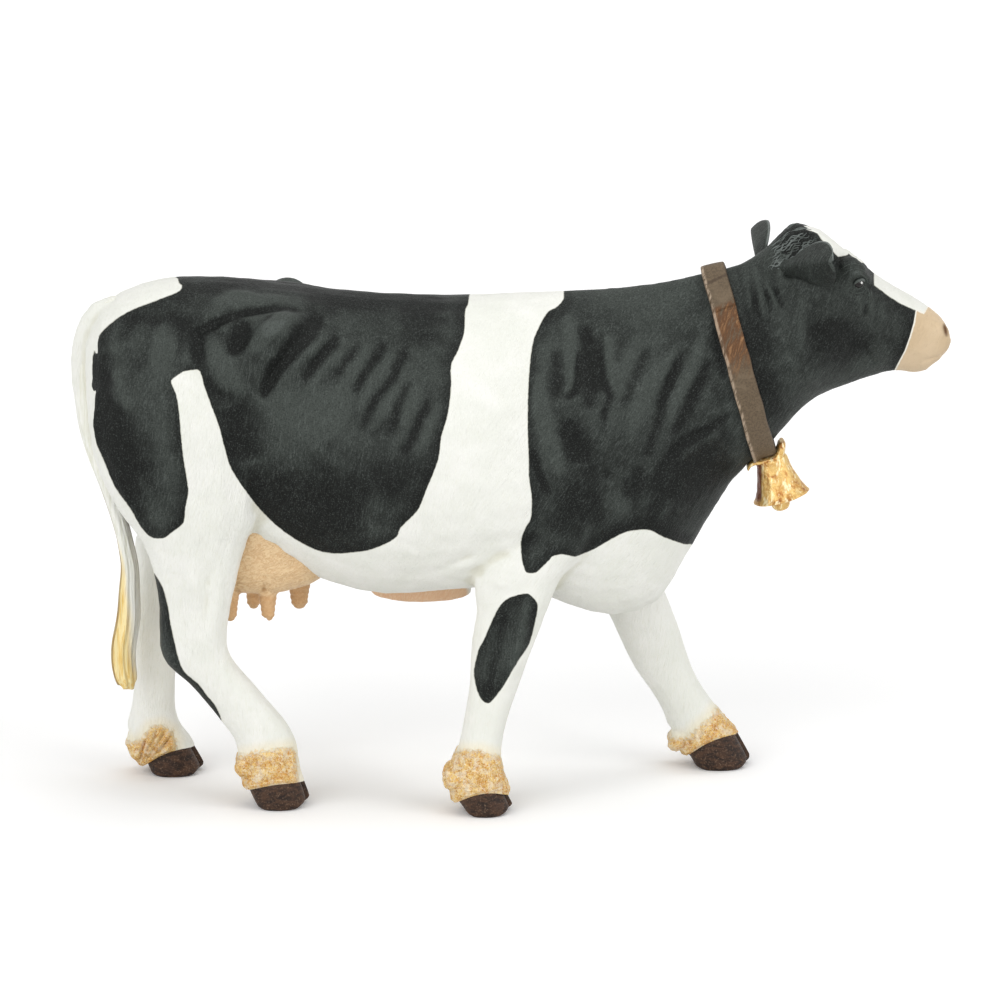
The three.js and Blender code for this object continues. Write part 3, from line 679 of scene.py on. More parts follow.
def horn_material():
    s = Coat("painted_horn")
    bands = s.noise(0.8, 3, 0.6, 0.6, s.scaled(s.place, (0.7, 0.7, 1.8)))
    grain = s.noise(3.6, 3, 0.65)
    colour = s.washed(
        s.between(bands, 0.35, 0.65, (34, 21, 14), (76, 53, 38)),
        (grain, 0.54, 0.7, 0.75, (124, 102, 84)),
        (grain, 0.45, 0.33, 0.8, (28, 18, 15)),
    )
    rough = s.band(grain, 0.3, 0.7, 0.42, 0.62)
    return s.finish(colour, s.plus(grain, bands, 0.5), 0.12, rough, Specular_IOR_Level=0.25)


def pink_material():
    s = Coat("painted_udder")
    wash = s.noise(1.1, 3, 0.6, 2.2, s.turned(20, (0.7, 1.1, 1.4)))
    fine = s.noise(4.5, 3, 0.6)
    colour = s.washed(
        s.between(wash, 0.36, 0.62, (216, 178, 132), (236, 206, 162)),
        (fine, 0.54, 0.72, 0.6, (246, 226, 188)),
        # Darker brown in the creases: painted shade
        (s.mark("crest"), -0.5, -2.6, 0.7, (178, 132, 82)),
        (s.mark("teat"), 0.0, 1.0, 0.55, (210, 158, 104)),
    )
    return s.finish(colour, s.plus(wash, fine, 0.4), 0.16, 0.5, Specular_IOR_Level=0.4)


def tail_material():
    s = Coat("painted_tail")
    strand = s.noise(1.0, 4, 0.65, 0.3, s.scaled(s.place, (2.2, 2.2, 0.12)))
    rear = s.mark("rear")
    low = s.plus(s.plus(3.0, rear), s.height, -0.1)
    pale = s.between(strand, 0.35, 0.62, (226, 226, 212), (242, 242, 235))
    ochre = s.washed(
        s.between(strand, 0.36, 0.6, (236, 198, 112), (254, 236, 178)),
        (strand, 0.4, 0.28, 0.5, (176, 126, 62)),
    )
    worn = s.times(s.band(rear, 0.9, 0.99), s.band(s.height, 52.0, 44.0))
    colour = s.mix(s.band(s.plus(low, strand, 0.9), 0.1, 1.0), pale, ochre)
    colour = s.mix(s.times(worn, 0.65), colour, srgb(120, 92, 54))
    return s.finish(colour, strand, 0.2, 0.5, Specular_IOR_Level=0.3)


def strap_material():
    s = Coat("painted_strap")
    across = s.mark("across")
    height = s.plus(s.height, across, -0.4)
    scuff = s.noise(1.0, 4, 0.7, 0.5, s.turned(74, (0.25, 1.6, 1.9)))
    weave = s.noise(3.4, 4, 0.65)
    colour = s.washed(
        s.between(weave, 0.36, 0.62, (88, 75, 59), (106, 91, 72)),
        (s.noise(0.35, 3, 0.6, 0.6), 0.5, 0.68, 0.5, (120, 104, 84)),
    )
    stain = s.times(s.band(s.plus(height, scuff, 5.0), 69.5, 74.5), s.band(height, 78.6, 77.9))
    worn = s.times(s.band(across, -1.25, -1.6), s.band(scuff, 0.4, 0.56))
    for share, tint in (
        (s.times(stain, s.band(scuff, 0.3, 0.55)), (92, 60, 34)),
        (s.times(stain, s.band(scuff, 0.5, 0.7)), (150, 112, 76)),
        # A dark line where the strap folds over the top of the neck: painted shade
        (s.band(s.apart(height, 81.6), 0.3, 0.05, 0.0, 0.6), (58, 44, 34)),
        (s.times(worn, 0.7), (190, 170, 148)),
        # Darker along both edges of the strap: painted shade
        (s.band(s.math("ABSOLUTE", across), 1.78, 1.9, 0.0, 0.7), (70, 54, 42)),
    ):
        colour = s.mix(share, colour, srgb(*tint))
    return s.finish(colour, s.plus(weave, scuff, 0.6), 0.09, 0.55, Specular_IOR_Level=0.25)


def gold_material():
    s = Coat("gilded_bell")
    beaten = s.noise(0.8, 3, 0.6, 0.8)
    fine = s.noise(3.2, 4, 0.7)
    # Upright streaks, lighter and darker: painted reflections on the gilding
    painted_shine = s.noise(0.9, 2, at=s.scaled(s.place, (1.6, 1.6, 0.35)))
    colour = s.washed(
        s.between(beaten, 0.36, 0.6, (192, 138, 66), (224, 186, 112)),
        (fine, 0.52, 0.7, 0.8, (255, 236, 178)),
        (beaten, 0.42, 0.3, 0.8, (150, 86, 34)),
        (painted_shine, 0.52, 0.66, 0.8, (255, 242, 196)),
        (painted_shine, 0.42, 0.3, 0.6, (176, 112, 48)),
    )
    # The wash mark is painted shade: a dark stripe down the bell's left side
    colour = s.mix(s.mark("wash"), colour, srgb(112, 58, 26))
    rough = s.band(fine, 0.3, 0.7, 0.3, 0.48)
    return s.finish(colour, s.plus(beaten, fine, 0.3), 0.18, rough, Metallic=0.4)


def eye_material():
    s = Coat("glossy_eye")
    fine = s.noise(3.0, 3, 0.6)
    tint = s.between(fine, 0.35, 0.65, (8, 6, 5), (22, 16, 13))
    # A painted highlight dot at the upper front of the ball
    tint = s.washed(tint, (s.mark("painted_glint"), 0.24, 0.17, 1.0, (225, 226, 222)))
    return s.finish(tint, fine, 0.02, 0.12, Specular_IOR_Level=0.3)


def dark_material():
    s = Coat("dark_metal")
    fine = s.noise(3.0, 3, 0.6)
    tint = s.mix(s.band(fine, 0.35, 0.65), (0.06, 0.03, 0.012), (0.096, 0.048, 0.0192))
    return s.finish(tint, fine, 0.02, 0.5, Specular_IOR_Level=0.6)


# Light and floor, whose half side is in metres; the lamps are sun lamps, so their places don't count

FLOOR_HALF = 3.0
FLOOR_GREY = (0.8, 0.8, 0.8)
FLOOR_SEEN = (1.1, 1.1, 1.1)
WORLD_LIGHT = 0.52
WORLD_SEEN = 1.0


def add_light(name, towards, spread, strength):
    """A lamp so far off that it lights everything alike, softened by its spread in degrees."""
    lamp = bpy.data.lights.new(name, "SUN")
    lamp.angle = math.radians(spread)
    lamp.energy = strength
    light = add_object(name, lamp)
    light.location = towards
    light.rotation_euler = Vector(towards).to_track_quat("Z", "Y").to_euler()


def add_world():
    s = Shade("studio", "worlds")
    strength = s.new("ShaderNodeMapRange", {"Value": s.seen(), "To Min": WORLD_LIGHT, "To Max": WORLD_SEEN})
    sky = s.new("ShaderNodeBackground", {"Color": (1.0, 1.0, 1.0), "Strength": strength.outputs[0]})
    bpy.context.scene.world = s.end("ShaderNodeOutputWorld", sky)


def add_floor():
    mesh = bpy.data.meshes.new("floor")
    corners = [(x * FLOOR_HALF, y * FLOOR_HALF, 0) for x, y in ((-1, -1), (1, -1), (1, 1), (-1, 1))]
    mesh.from_pydata(corners, [], [(0, 1, 2, 3)])
    s = Shade("floor_paper")
    colour = s.mix(s.seen(), FLOOR_GREY, FLOOR_SEEN)
    shader = s.new("ShaderNodeBsdfDiffuse", {"Color": colour})
    mesh.materials.append(s.end("ShaderNodeOutputMaterial", shader))
    add_object("floor", mesh)


# The body: torso, head and legs from one skin

# How far the middle of the neck and head lies to the cow's left, by the place along
HEAD_ALONG = (34.2, 37.7, 40.7, 43.2, 46, 48.7, 50.8, 53.3, 55.3, 58, 60.6, 62.9, 65, 66.1)
HEAD_ASIDE = (0, 0.6, 1.2, 1.8, 2.4, 3.0, 3.6, 4.4, 5.0, 5.6, 6.3, 7.0, 7.5, 7.8)
COLLAR_MIDDLE = np.array((34.25, 0, 68.36))
COLLAR_DOWN = np.array((0.269, 0, -0.963))
COLLAR_FORWARD = np.array((0.963, 0, 0.269))
# A mark's value well inside an area of paint; below zero it is well outside
WELL_IN = 9.0
# How small the quads of the skin are, how wide the gaps it closes, and where it leaves the tail
BODY_VOXEL = 0.42
BODY_GROW = 0.2
TAIL_JOINT = 52.0
NECK_BOTTOM = 52
# What fills the gap between neck and head: its middle and its halves
NECK_FILLER = ((41, 1, 72), (6, 2.5, 6))
# The bumps of the hips, on both sides and once more on the far one: place and squares of their lengths
HIPS = ((-34, 12.8, 76), (22, 14, 18))
FAR_HIP = ((-32.4, 12.2, 76.5), (44, 20, 20))
HIP_HEIGHT = 0.95
FAR_HIP_HEIGHT = 1.3
# Below this height the leg's patches are painted, and above this one a skin's rim is blended
PATCHES_BELOW = 45
BLEND_ABOVE = 20
# The most painted highlight that a ridge of the torso gets
TORSO_HIGHLIGHT_MOST = 2.9

# Each leg: its middle to the left, the height of its joint, its reach along, the heel and the toe of
# its coronet as places along and up, its sole's ends, how far the coronet arches, and its dewclaws
Leg = namedtuple("Leg", "middle joint reach heel toe sole arch claw")
LEGS = {
    name + "_leg": Leg(*numbers)
    for name, *numbers in (
        ("front_right", -12.5, 31, (-15, 15), (-8.9, 2.1), (-1.9, 3.5), (-7.4, -0.2), 1.0, (-9.4, 5.9, 1.35)),
        ("front_left", 12.5, 31, (4, 42), (27.3, 2.2), (34.6, 5.6), (28.6, 37.6), 1.0, (25.4, 4.2, 1.0)),
        ("hind_right", -9, 38, (-70, -28), (-41.1, 3), (-33.1, 4.2), (-39.8, -31.6), 0.6, (-41.9, 7.1, 0.95)),
        ("hind_left", 9, 38, (-70, -34), (-57.9, 1.9), (-51.1, 4.5), (-57.2, -48.7), 0.8, (-58.9, 4.3, 1.45)),
    )
}
PIECES = ("torso", "head", *LEGS)
HOOVES = 9

# Relief as strokes in the photograph's pixels, the same on both sides: height in millimetres,
# half width in pixels, and the path
RELIEF = [
    (-0.7, 5, [(196, 335), (204, 330), (212, 324), (228, 316), (250, 311), (275, 309), (300, 313)]),
    (-0.35, 4.5, [(188, 338), (203, 329), (222, 319)]),
    (0.35, 10, [(200, 316), (235, 301), (279, 297), (330, 304)]),
    (0.55, 11, [(209, 336), (216, 356), (230, 378), (246, 396)]),
    (-1.0, 10, [(245, 318), (238, 338), (230, 358)]), (0.75, 21, [(263, 326), (275, 340)]),
    (-1.2, 12, [(322, 316), (300, 337), (287, 355), (277, 372), (262, 398)]),
    (-0.4, 4.5, [(288, 352), (273, 376), (261, 400)]),
    (0.34, 5.5, [(327, 336), (303, 355), (287, 374), (266, 398)]),
    (-0.36, 6, [(341, 334), (325, 352), (314, 367), (303, 386)]),
    (0.22, 7, [(344, 346), (327, 366), (313, 386), (305, 404)]),
    (-0.26, 4.5, [(360, 343), (345, 363), (335, 380)]), (0.2, 7, [(368, 350), (352, 372), (340, 398)]),
    (-0.36, 6, [(386, 340), (373, 359), (362, 376), (353, 396)]),
    (0.26, 7, [(394, 352), (380, 374), (367, 398), (360, 414)]),
    (-0.4, 6.5, [(411, 344), (397, 364), (388, 382), (375, 398), (367, 413), (362, 432)]),
    (0.34, 8, [(398, 384), (389, 402), (380, 420)]),
    (-0.36, 6.5, [(409, 380), (399, 403), (395, 420), (386, 437)]),
    (0.3, 8, [(420, 384), (409, 409), (401, 430)]),
    (-0.36, 6.5, [(432, 396), (418, 420), (411, 438), (400, 456)]),
    (0.22, 8, [(442, 402), (426, 432), (414, 455)]),
    (-0.16, 2.6, [(366, 431), (374, 434), (381, 428), (391, 414)]), (0.4, 38, [(312, 396), (346, 424)]),
    (-0.35, 24, [(236, 404), (252, 460)]), (-0.3, 26, [(300, 490), (370, 500)]),
    (0.5, 24, [(150, 344), (178, 350)]), (-0.35, 10, [(112, 344), (138, 322), (168, 317), (196, 329)]),
    (-0.5, 7, [(197, 328), (196, 344), (199, 366)]),
    (-0.4, 12, [(102, 350), (103, 390), (118, 430), (138, 478)]),
    (0.25, 9, [(133, 356), (118, 374), (119, 392), (131, 414)]),
    (0.3, 18, [(150, 400), (166, 450), (170, 490)]), (0.15, 4, [(128, 458), (140, 480), (150, 496)]),
    (-0.2, 5, [(490, 362), (497, 384), (504, 404), (508, 426)]),
    (0.45, 8, [(567, 312), (573, 346), (573, 373), (573, 390)]),
    (-0.45, 3.2, [(579, 348), (578, 376), (576, 393), (569, 398), (562, 394)]),
    (-0.6, 13, [(584, 326), (590, 352), (592, 384), (590, 410)]),
    (0.4, 9, [(608, 334), (608, 360), (612, 386)]),
    (-0.35, 3.6, [(601, 330), (601, 360), (605, 386), (610, 397), (605, 414), (604, 436)]),
    (-0.25, 8, [(555, 346), (556, 380), (556, 404)]),
    (0.55, 9, [(536, 372), (540, 402), (546, 430), (554, 456), (563, 478)]),
    (-0.5, 14, [(566, 416), (572, 440), (582, 466)]),
    (-0.35, 4, [(530, 450), (537, 466), (542, 478), (551, 496)]),
    (0.35, 8, [(680, 346), (656, 378), (638, 412), (628, 446)]),
    (-0.5, 6.5, [(684, 350), (669, 380), (661, 420), (645, 456)]),
    (0.35, 8, [(703, 332), (692, 370), (672, 404), (654, 440)]),
    (-0.4, 7, [(710, 358), (700, 384), (690, 408), (672, 436)]),
    (-0.3, 7, [(650, 346), (636, 380), (622, 410)]), (0.3, 8, [(642, 330), (626, 366), (620, 398)]),
    (-0.4, 7, [(714, 312), (720, 345), (726, 378)]), (0.3, 8, [(722, 428), (700, 442), (674, 462)]),
    (-0.4, 5, [(732, 414), (706, 432), (680, 446), (654, 478)]),
    (-0.25, 8, [(640, 464), (634, 490), (636, 516)]), (-0.16, 2.6, [(604, 468), (608, 476), (616, 474)]),
    (-0.16, 3, [(626, 476), (627, 498)]), (0.3, 16, [(600, 500), (650, 505)]),
    (-0.25, 8, [(455, 560), (480, 548), (505, 540)]), (0.25, 5, [(436, 577), (456, 570), (476, 563)]),
    (-0.3, 4, [(438, 571), (458, 564), (478, 556)]), (0.45, 12, [(505, 560), (500, 590)]),
    (-0.4, 10, [(250, 498), (262, 515), (282, 530)]), (0.4, 12, [(214, 470), (222, 510), (226, 540)]),
    (0.3, 9, [(200, 500), (190, 560), (196, 610)]), (-0.25, 8, [(168, 540), (176, 590), (184, 640)]),
    (-0.3, 7, [(214, 560), (206, 600), (204, 640)]), (0.25, 5, [(222, 566), (216, 610), (214, 650)]),
    (-0.3, 7, [(507, 610), (497, 650), (486, 700)]), (0.3, 6, [(530, 590), (520, 640), (506, 690)]),
]

# Painted light and shade added to the relief's own: above zero lighter, below zero darker
PAINTED_LIGHT_AND_SHADE = [
    (-0.75, 13, [(170, 284), (240, 286), (330, 297), (420, 304), (470, 305)]),
    (-0.6, 18, [(94, 330), (92, 380), (104, 430), (126, 480), (150, 515)]),
    (-0.45, 26, [(150, 330), (200, 332), (206, 360)]), (0.35, 26, [(150, 350), (176, 366), (182, 420)]),
    (-0.4, 30, [(120, 420), (150, 500)]), (0.55, 34, [(270, 400), (310, 420), (350, 400)]),
    (0.3, 24, [(370, 390), (420, 380), (440, 340)]), (-0.6, 36, [(250, 470), (300, 520), (370, 535)]),
    (-0.4, 22, [(400, 330), (450, 320)]), (-0.45, 20, [(420, 440), (396, 500), (380, 530)]),
    (-0.3, 22, [(345, 480), (400, 470)]), (0.35, 24, [(590, 300), (650, 300), (700, 290)]),
    (0.3, 14, [(540, 330), (538, 400), (545, 470)]), (-0.5, 24, [(585, 440), (590, 490), (560, 540)]),
    (-0.5, 34, [(620, 500), (680, 480), (720, 440)]), (-0.4, 26, [(600, 540), (680, 530)]),
    (-0.6, 16, [(748, 300), (758, 360), (776, 430)]), (0.3, 16, [(660, 330), (636, 390), (620, 430)]),
    (-2.4, 15, [(784, 256), (800, 240), (812, 246)]), (0.5, 8, [(212, 300), (260, 295), (312, 299)]),
    (-0.6, 11, [(264, 326), (282, 328)]), (-0.75, 26, [(826, 316), (838, 342), (850, 366)]),
    (-0.5, 30, [(650, 470), (690, 470), (730, 420)]),
]

# Where the paint runs, in the photograph's pixels and well past the outline at the top
PATCH_HIND = [
    (180, 230), (178, 278), (182, 285), (178, 292), (158, 300), (134, 309), (115, 320), (101, 333),
    (94, 348), (91, 372), (88, 395), (91, 419), (95, 440), (104, 461), (115, 487), (130, 508), (141, 527),
    (151, 537), (163, 538), (172, 532), (183, 523), (185, 508), (188, 492), (186, 475), (183, 457),
    (181, 438), (179, 414), (176, 395), (171, 383), (172, 379), (182, 372), (191, 370), (200, 371),
    (205, 388), (210, 402), (219, 426), (225, 449), (231, 468), (243, 487), (259, 508), (276, 525),
    (295, 539), (314, 549), (330, 553), (346, 553), (369, 550), (387, 543), (397, 536), (401, 527),
    (417, 511), (426, 490), (438, 460), (441, 437), (447, 417), (450, 398), (451, 382), (451, 365),
    (458, 350), (464, 332), (465, 311), (469, 296), (471, 230),
]
PATCH_FORE = [
    (566, 230), (564, 292), (563, 300), (557, 307), (548, 312), (541, 323), (534, 339), (531, 355),
    (529, 378), (528, 405), (528, 435), (529, 460), (529, 476), (532, 499), (531, 518), (526, 527),
    (521, 541), (522, 559), (525, 570), (529, 573), (537, 572), (550, 559), (552, 556), (562, 554),
    (571, 556), (577, 556), (592, 550), (608, 541), (623, 533), (636, 530), (650, 530), (664, 537),
    (684, 544), (694, 545), (730, 560), (800, 470), (893, 400), (896, 372), (899, 364), (906, 351),
    (911, 337), (915, 323), (917, 311), (901, 304), (887, 295), (874, 285), (874, 272), (869, 260),
    (858, 246), (852, 245), (848, 255), (838, 257), (830, 248), (822, 240), (817, 233), (811, 222),
    (806, 200), (700, 200),
]
PATCH_KNEE = [
    (523, 594), (530, 595), (537, 603), (537, 612), (533, 631), (528, 646), (520, 658), (512, 671),
    (504, 685), (496, 696), (489, 703), (482, 700), (477, 690), (474, 674), (476, 660), (479, 649),
    (484, 640), (489, 628), (495, 615), (500, 606), (509, 598),
]
PATCH_HOCK = [
    (151, 572), (159, 581), (164, 592), (168, 608), (170, 622), (174, 641), (179, 661), (185, 673),
    (198, 684), (207, 696), (216, 707), (221, 722), (208, 716), (197, 702), (186, 692), (176, 684),
    (167, 678), (158, 668), (151, 652), (148, 638), (148, 618), (147, 602), (146, 588),
]
PATCH_MUZZLE = [
    (917, 311), (924, 314), (929, 306), (945, 280), (990, 300), (980, 380), (930, 400), (888, 392),
    (896, 370), (899, 364), (906, 351), (911, 337), (915, 323),
]
# The far side's patches, which no photograph shows, in millimetres along and up
FAR_PATCHES = [
    [
        (-53, 95), (-52, 78), (-57, 68), (-56, 58), (-49, 53), (-43, 56), (-38, 63), (-33, 58), (-27, 48),
        (-17, 44), (-9, 48), (-5, 58), (-7, 66), (-4, 73), (-7, 79), (-7, 95),
    ],
    [
        (7, 95), (7, 79), (2, 71), (1, 60), (5, 50), (10, 46), (16, 49), (21, 43), (29, 40), (40, 44),
        (75, 50), (75, 95),
    ],
    [
        (-55, 50), (-50, 51), (-45, 46), (-42, 38), (-45, 31), (-51, 33), (-54, 40), (-55.5, 46),
    ],
]

# Relief of the face, the chin and the nostrils, as strokes
FACE = [
    (0.75, 9, [(840, 264), (854, 263), (866, 271)]), (-0.45, 3.5, [(838, 258), (850, 254), (862, 258)]),
    (-0.4, 5.5, [(852, 284), (859, 283), (865, 285)]),
    (0.3, 3.0, [(846, 279), (853, 274), (861, 273), (868, 278), (870, 286)]),
    (-0.3, 3.2, [(848, 292), (857, 294), (866, 291)]), (0.3, 2.4, [(869, 288), (871, 300), (870, 314)]),
    (0.22, 2.2, [(856, 296), (860, 304), (860, 316)]), (-0.25, 2.4, [(864, 294), (866, 306), (865, 316)]),
    (-0.3, 3.5, [(877, 298), (878, 314), (874, 330)]), (0.45, 6, [(801, 296), (800, 322), (801, 356)]),
    (-0.5, 8, [(814, 298), (815, 326), (817, 354)]), (0.25, 7, [(784, 352), (800, 374), (822, 384)]),
    (-0.35, 9, [(836, 318), (846, 334), (860, 342)]), (0.3, 14, [(868, 350), (886, 340)]),
    (-0.3, 7, [(884, 306), (900, 316), (912, 330)]), (-0.4, 5, [(776, 258), (773, 276), (777, 296)]),
    (0.3, 4.5, [(745, 266), (748, 288), (752, 316)]), (0.5, 4.5, [(754, 266), (760, 289), (765, 322)]),
    (0.3, 2.8, [(766, 282), (771, 292), (778, 308)]), (-0.2, 2.6, [(752, 286), (755, 300), (758, 318)]),
    (-0.22, 2.4, [(764, 284), (769, 300), (772, 316)]), (-0.3, 3, [(774, 286), (779, 298), (784, 310)]),
    (-0.6, 2.0, [(945, 324), (946, 329), (947, 334)]), (0.25, 3.0, [(939, 320), (940, 330), (943, 338)]),
    (-0.22, 1.8, [(950, 354), (938, 358), (924, 361)]), (-0.2, 4, [(921, 318), (922, 334), (918, 350)]),
]
CHIN = [(954, 350), (944, 364), (928, 372)]
NOSTRIL = [(944, 323), (945.5, 329), (947, 337)]

# Where the ochre wash lies over each hoof, in the photograph's pixels
OCHRE = {
    "front_right_leg": [
        (436, 768), (446, 756), (462, 751), (482, 752), (499, 757), (503, 772), (514, 786), (516, 810),
        (450, 818), (436, 796),
    ],
    "front_left_leg": [
        (662, 746), (672, 739), (688, 738), (699, 728), (710, 719), (717, 709), (724, 719), (740, 727),
        (746, 740), (700, 775), (682, 760), (664, 758),
    ],
    "hind_right_leg": [
        (230, 762), (240, 756), (262, 752), (290, 748), (295, 756), (297, 776), (300, 792), (252, 808),
        (236, 800),
    ],
    "hind_left_leg": [
        (114, 748), (124, 739), (136, 744), (144, 737), (151, 728), (161, 726), (171, 731), (175, 743),
        (176, 756), (148, 776), (126, 768),
    ],
}
# Locks that fan out over the far hind hoof
FAN = [
    (0.5, 2.6, [(143, 757), (149, 744), (154, 731)]), (0.5, 2.4, [(146, 757), (155, 742), (162, 729)]),
    (0.5, 2.4, [(150, 757), (160, 744), (169, 732)]), (0.55, 3.0, [(152, 760), (164, 750), (174, 741)]),
    (-0.5, 1.8, [(140, 762), (143, 748), (147, 738)]), (-0.4, 1.4, [(145, 757), (152, 743), (158, 730)]),
    (-0.4, 1.4, [(148, 758), (158, 743), (166, 731)]), (-0.4, 1.4, [(151, 759), (162, 747), (172, 736)]),
]


def aside(points):
    """How far each point lies to the left of the figure's own middle."""
    return points[:, 1] - np.interp(points[:, 0], HEAD_ALONG, HEAD_ASIDE)


def near_twin(points):
    """Each point, or for one of the far side its twin on the side that the photograph shows."""
    twin = points.copy()
    twin[:, 1] -= aside(points)
    twin[:, 1] -= np.abs(aside(points))
    return twin


def mirrored(points):
    """Points moved over to the other side of the head's own middle."""
    points = points.copy()
    points[:, 1] -= 2 * aside(points)
    return points


def coronet(leg, x):
    """How high the top of a hoof lies at each place along it."""
    share = np.clip((x - leg.heel[0]) / (leg.toe[0] - leg.heel[0]), -0.25, 1.3)
    return leg.heel[1] + share * (leg.toe[1] - leg.heel[1]) + 4 * leg.arch * share * (1 - share)


def body_skin():
    """The whole body as one smooth skin."""
    parts = [node_mesh(name) for name in PIECES]
    points, faces = node_mesh("tail")
    points[:, 2] = np.maximum(points[:, 2], TAIL_JOINT)
    parts += [(points, faces), inner_block(*NECK_FILLER)]
    for leg in LEGS.values():
        x, z, half = leg.claw
        for side in (-1, 1):
            middle = (x, leg.middle + side * 1.9, z)
            points, faces = ellipsoid(middle, (half, half * 0.95, half * 1.05))
            parts.append((points, triangles_of(faces)))
    points, quads, edges = remeshed(parts, BODY_VOXEL, BODY_GROW)
    low = step(14, 20, points[:, 2])
    head = step(36, 44, points[:, 0]) * step(50, 60, points[:, 2])
    points = smoothed(points, edges, 10)
    points = smoothed(points, edges, 34, (0.25 + 0.75 * low) * (1 - 0.55 * head))
    return points, quads, edges


def inner_block(middle, halves):
    """A closed block inside the body, which fills what the joints leave open."""
    points = np.array(list(np.ndindex(2, 2, 2))) * 2.0 - 1
    faces = np.array([
        (0, 1, 3), (0, 3, 2), (4, 6, 7), (4, 7, 5), (0, 4, 5), (0, 5, 1),
        (2, 3, 7), (2, 7, 6), (0, 2, 6), (0, 6, 4), (1, 5, 7), (1, 7, 3),
    ])
    return points * halves + middle, faces


def mound(points, middle, spread):
    """1 at a place, falling off over lengths whose squares are given."""
    return np.exp(-((points - middle) ** 2 / spread).sum(axis=1))


def carve(points, quads, edges):
    """Adds the relief along the skin's normals, and gives the painted light and shade that go with it."""
    out = normals(points, quads)
    twin = near_twin(points)
    at = screen(twin)
    for reach, scale, seed in ((1.8, 0.2, 51), (0.7, 0.6, 53)):
        at = at + reach * np.column_stack([noise(twin * scale, seed + i) for i in (0, 1)])
    height = strokes(at, RELIEF) * (step(0.08, 0.45, np.abs(out[:, 1])) * (1 + 0.2 * noise(twin * 0.35, 55)))
    # The tone mark: painted highlight on the relief's ridges and painted shade in its hollows, with more
    # strokes
    tone = height + strokes(at, PAINTED_LIGHT_AND_SHADE)
    folded = np.column_stack((points[:, 0], np.abs(points[:, 1]), points[:, 2]))
    height += HIP_HEIGHT * mound(folded, *HIPS)
    far_hip = mound(points, *FAR_HIP)
    # A painted highlight on the far hip's bump
    tone += 1.1 * far_hip
    turned = points @ np.array(((0.5, 0, -0.86), (0, 1, 0), (0.86, 0, 0.5)))
    height += 0.11 * layered(turned * (0.5, 0.5, 0.09), 3, 3) * step(20, 34, points[:, 2])
    height += 0.12 * layered(points * 0.16, 5, 2)
    lifted = points + out * height[:, None] + np.outer(FAR_HIP_HEIGHT * far_hip, UP)
    return smoothed(lifted, edges, 2), tone


def split_body(points, quads):
    """Which piece each quad belongs to; points on the borders are drawn onto the joints' planes."""
    middle = points[quads].mean(axis=1)
    label = np.zeros(len(quads), int)
    label[((middle - COLLAR_MIDDLE) @ COLLAR_FORWARD > 0) & (middle[:, 2] > NECK_BOTTOM)] = 1
    borders = [(1, COLLAR_MIDDLE, COLLAR_FORWARD)]
    for k, leg in enumerate(LEGS.values(), 2):
        own_side = middle[:, 1] * math.copysign(1, leg.middle) > 1
        within = (middle[:, 0] > leg.reach[0]) & (middle[:, 0] < leg.reach[1])
        chosen = np.flatnonzero((middle[:, 2] < leg.joint) & within & own_side)
        island = islands(len(points), edges_of(quads[chosen]))[quads[chosen, 0]]
        label[chosen[island == island[np.argmin(middle[chosen, 2])]]] = k
        borders.append((k, np.array((0, 0, leg.joint)), UP))
        label[(label == k) & (middle[:, 2] < coronet(leg, middle[:, 0]))] = HOOVES
    used_by = np.zeros((len(points), HOOVES + 1), bool)
    for k in range(HOOVES + 1):
        used_by[np.unique(quads[label == k]), k] = True
    for k, origin, normal in borders:
        rim = used_by[:, k] & used_by[:, 0]
        points[rim] -= np.outer((points[rim] - origin) @ normal, normal)
    for k, leg in enumerate(LEGS.values(), 2):
        rim = used_by[:, k] & used_by[:, HOOVES]
        points[rim, 2] = coronet(leg, points[rim, 0])
    return label


def inside_any(at, outlines):
    """How far inside the nearest of some outlines drawn smooth."""
    return np.max([inside_by(at, rounded(outline)) for outline in outlines], axis=0)


def paint(points, out):
    """Black and muzzle marks, which the coat's material reads, for each point of the skin."""
    x, y, z = points.T
    at = screen(points)
    legs = np.where(z < PATCHES_BELOW, inside_any(at, (PATCH_KNEE, PATCH_HOCK)), -WELL_IN)
    near = np.maximum(inside_any(at, (PATCH_HIND, PATCH_FORE)), legs)
    far = inside_any(points[:, [0, 2]] * PIXELS_PER_MM, [np.array(p) * PIXELS_PER_MM for p in FAR_PATCHES])
    black = near + (far - near) * step(-1.0, 6.0, y)
    black -= 3 * step(0.8, 0.97, -out[:, 0]) * step(-60, -62, x)
    head = step(38, 43, x) * (z > 50)
    at_head = screen(near_twin(points))
    blaze = np.interp(x, (42, 46, 49, 51, 55, 58, 66), (0.5, 3.2, 2.8, 1.3, 1.2, 3.0, 3.6))
    blaze = blaze + 0.4 * noise(points * 0.5, 61) + 2.6 * hump(x - 51.2, 2.0)
    on_top = np.where(out[:, 2] > 0.1, np.abs(aside(points)) - blaze, WELL_IN)
    face = np.minimum(inside_by(at_head, PATCH_FORE), on_top)
    behind = 44.6 + 0.9 * noise(points * (0.3, 1.1, 1.1), 66) - x
    face = np.where(behind > 0, np.maximum(face, np.minimum(1, behind)), face)
    muzzle = np.where(head > 0.5, inside_by(at_head, PATCH_MUZZLE), -WELL_IN)
    return black * (1 - head) + face * head, muzzle


def face_detail(points, quads):
    """Brows, lids, nostrils, mouth, cheeks and the tuft of the poll."""
    out = normals(points, quads)
    at = screen(near_twin(points))
    height = strokes(at, FACE) * step(0.0, 0.35, np.abs(out[:, 1]))
    height -= 0.5 * stroke(at, CHIN, 7)
    poll = step(36, 14, np.hypot((at[:, 0] - 800) * 0.9, (at[:, 1] - 240) * 1.2))
    height += poll * (0.22 * layered(points * 0.55, 4, 2) - 0.1)
    turned = points @ np.array(((0.8, 0, -0.6), (0, 1, 0), (0.6, 0, 0.8)))
    height += 0.05 * layered(turned * (0.25, 0.9, 1.6), 8, 2) * (1 - poll)
    inner = step(0.8, 2.2, (points - COLLAR_MIDDLE) @ COLLAR_FORWARD)
    return points + out * (height * inner)[:, None]


